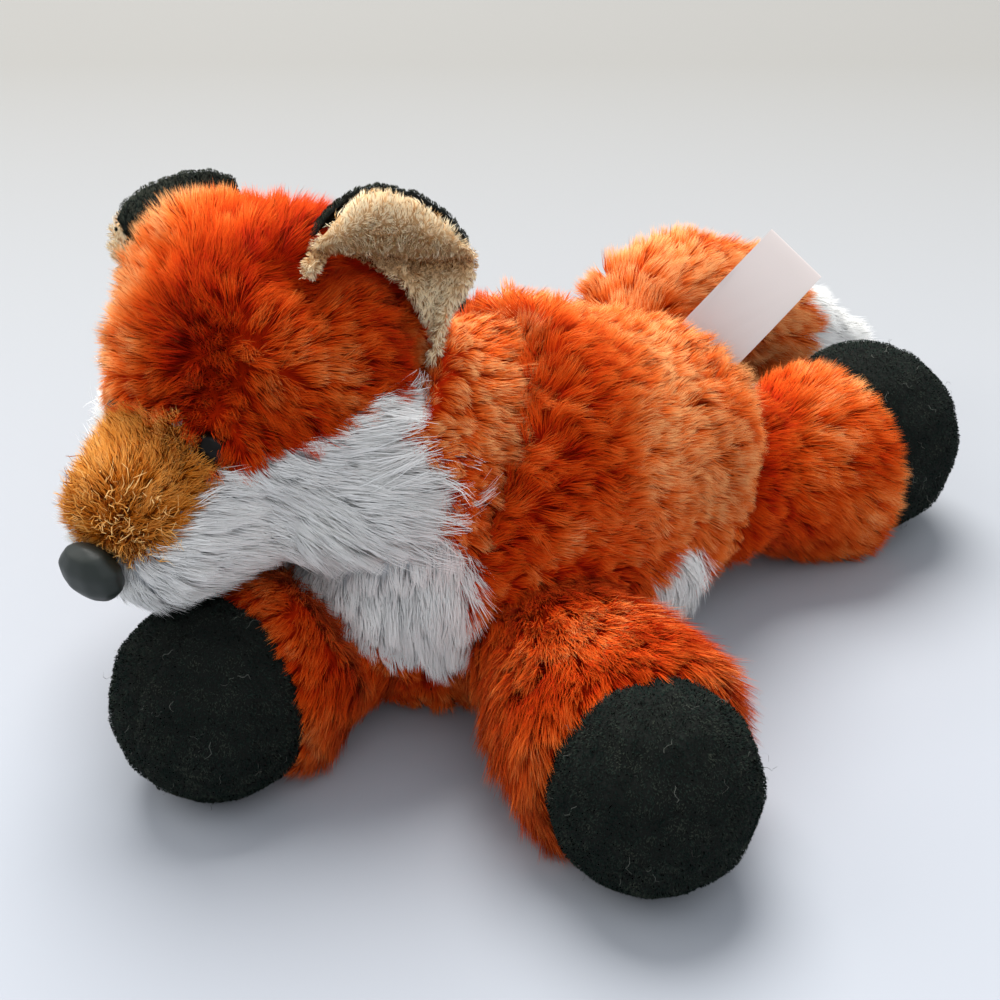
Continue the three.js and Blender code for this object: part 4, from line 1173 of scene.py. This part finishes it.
def floor_material():
    """Near white by the toy, a pale grey towards the back, and white in the distance."""
    m = material("floor_sheet", linear(236, 238, 242), roughness=0.9, specular=0.05)
    tree = Tree(m.node_tree)
    place = tree.new("ShaderNodeNewGeometry").outputs["Position"]
    along = tree.measure("DOT_PRODUCT", place, AWAY)
    spread = tree.new("ShaderNodeMapRange", {"Value": along, "From Min": GREY_FROM, "From Max": GREY_TO})
    grey = tree.new("ShaderNodeValToRGB", {"Fac": spread.outputs["Result"]})
    for element, colour in zip(grey.color_ramp.elements, GREYS):
        element.color = colour
    inputs = {"Value": tree.measure("LENGTH", place), "From Min": WHITE_FROM, "From Max": WHITE_TO}
    fade = tree.new("ShaderNodeMapRange", inputs, interpolation_type="SMOOTHSTEP")
    # Its inputs 6 and 7 are the colours that it mixes by input 0, and output 2 is what comes out
    inputs = {0: fade.outputs["Result"], 6: grey.outputs["Color"], 7: DISTANCE_WHITE}
    mixed = tree.new("ShaderNodeMix", inputs, data_type="RGBA").outputs[2]
    coat(m, {"Base Color": mixed})
    return m


def make_floor():
    corners = [(x * FLOOR_HALF, y * FLOOR_HALF, 0) for x, y in ((-1, -1), (1, -1), (1, 1), (-1, 1))]
    floor = new_object("floor_sheet", corners, [(0, 1, 2, 3)])
    shaded(floor, floor_material())


def area_light(name, place, target, size, power, colour):
    data = bpy.data.lights.new(name, "AREA")
    data.shape = "DISK"
    data.size = size
    data.energy = power
    data.color = colour
    light = bpy.data.objects.new(name, data)
    away, side, up = place
    light.location = AWAY * away + SIDE * side + Vector((0, 0, up))
    light.rotation_euler = (Vector(target) - light.location).to_track_quat("-Z", "Y").to_euler()
    bpy.context.scene.collection.objects.link(light)


def room_light():
    world = bpy.data.worlds.new("room_light")
    world.use_nodes = True
    background = world.node_tree.nodes["Background"]
    background.inputs["Color"].default_value = (0.92, 0.95, 1.0, 1.0)
    background.inputs["Strength"].default_value = 0.7
    bpy.context.scene.world = world


def make_camera():
    data = bpy.data.cameras.new("camera")
    data.sensor_width = 36.0
    data.lens = 67.36
    data.clip_start = 0.01
    camera = bpy.data.objects.new("camera", data)
    turn = Matrix((RIGHT_PAGE, UP_PAGE, TO_VIEWER)).transposed().to_4x4()
    camera.matrix_world = Matrix.Translation(CAMERA_PLACE) @ turn
    bpy.context.scene.collection.objects.link(camera)
    bpy.context.scene.camera = camera


make_floor()
for name, settings in LIGHTS.items():
    area_light(name, *settings)
room_light()
make_camera()
bpy.context.scene.view_settings.view_transform = "Standard"
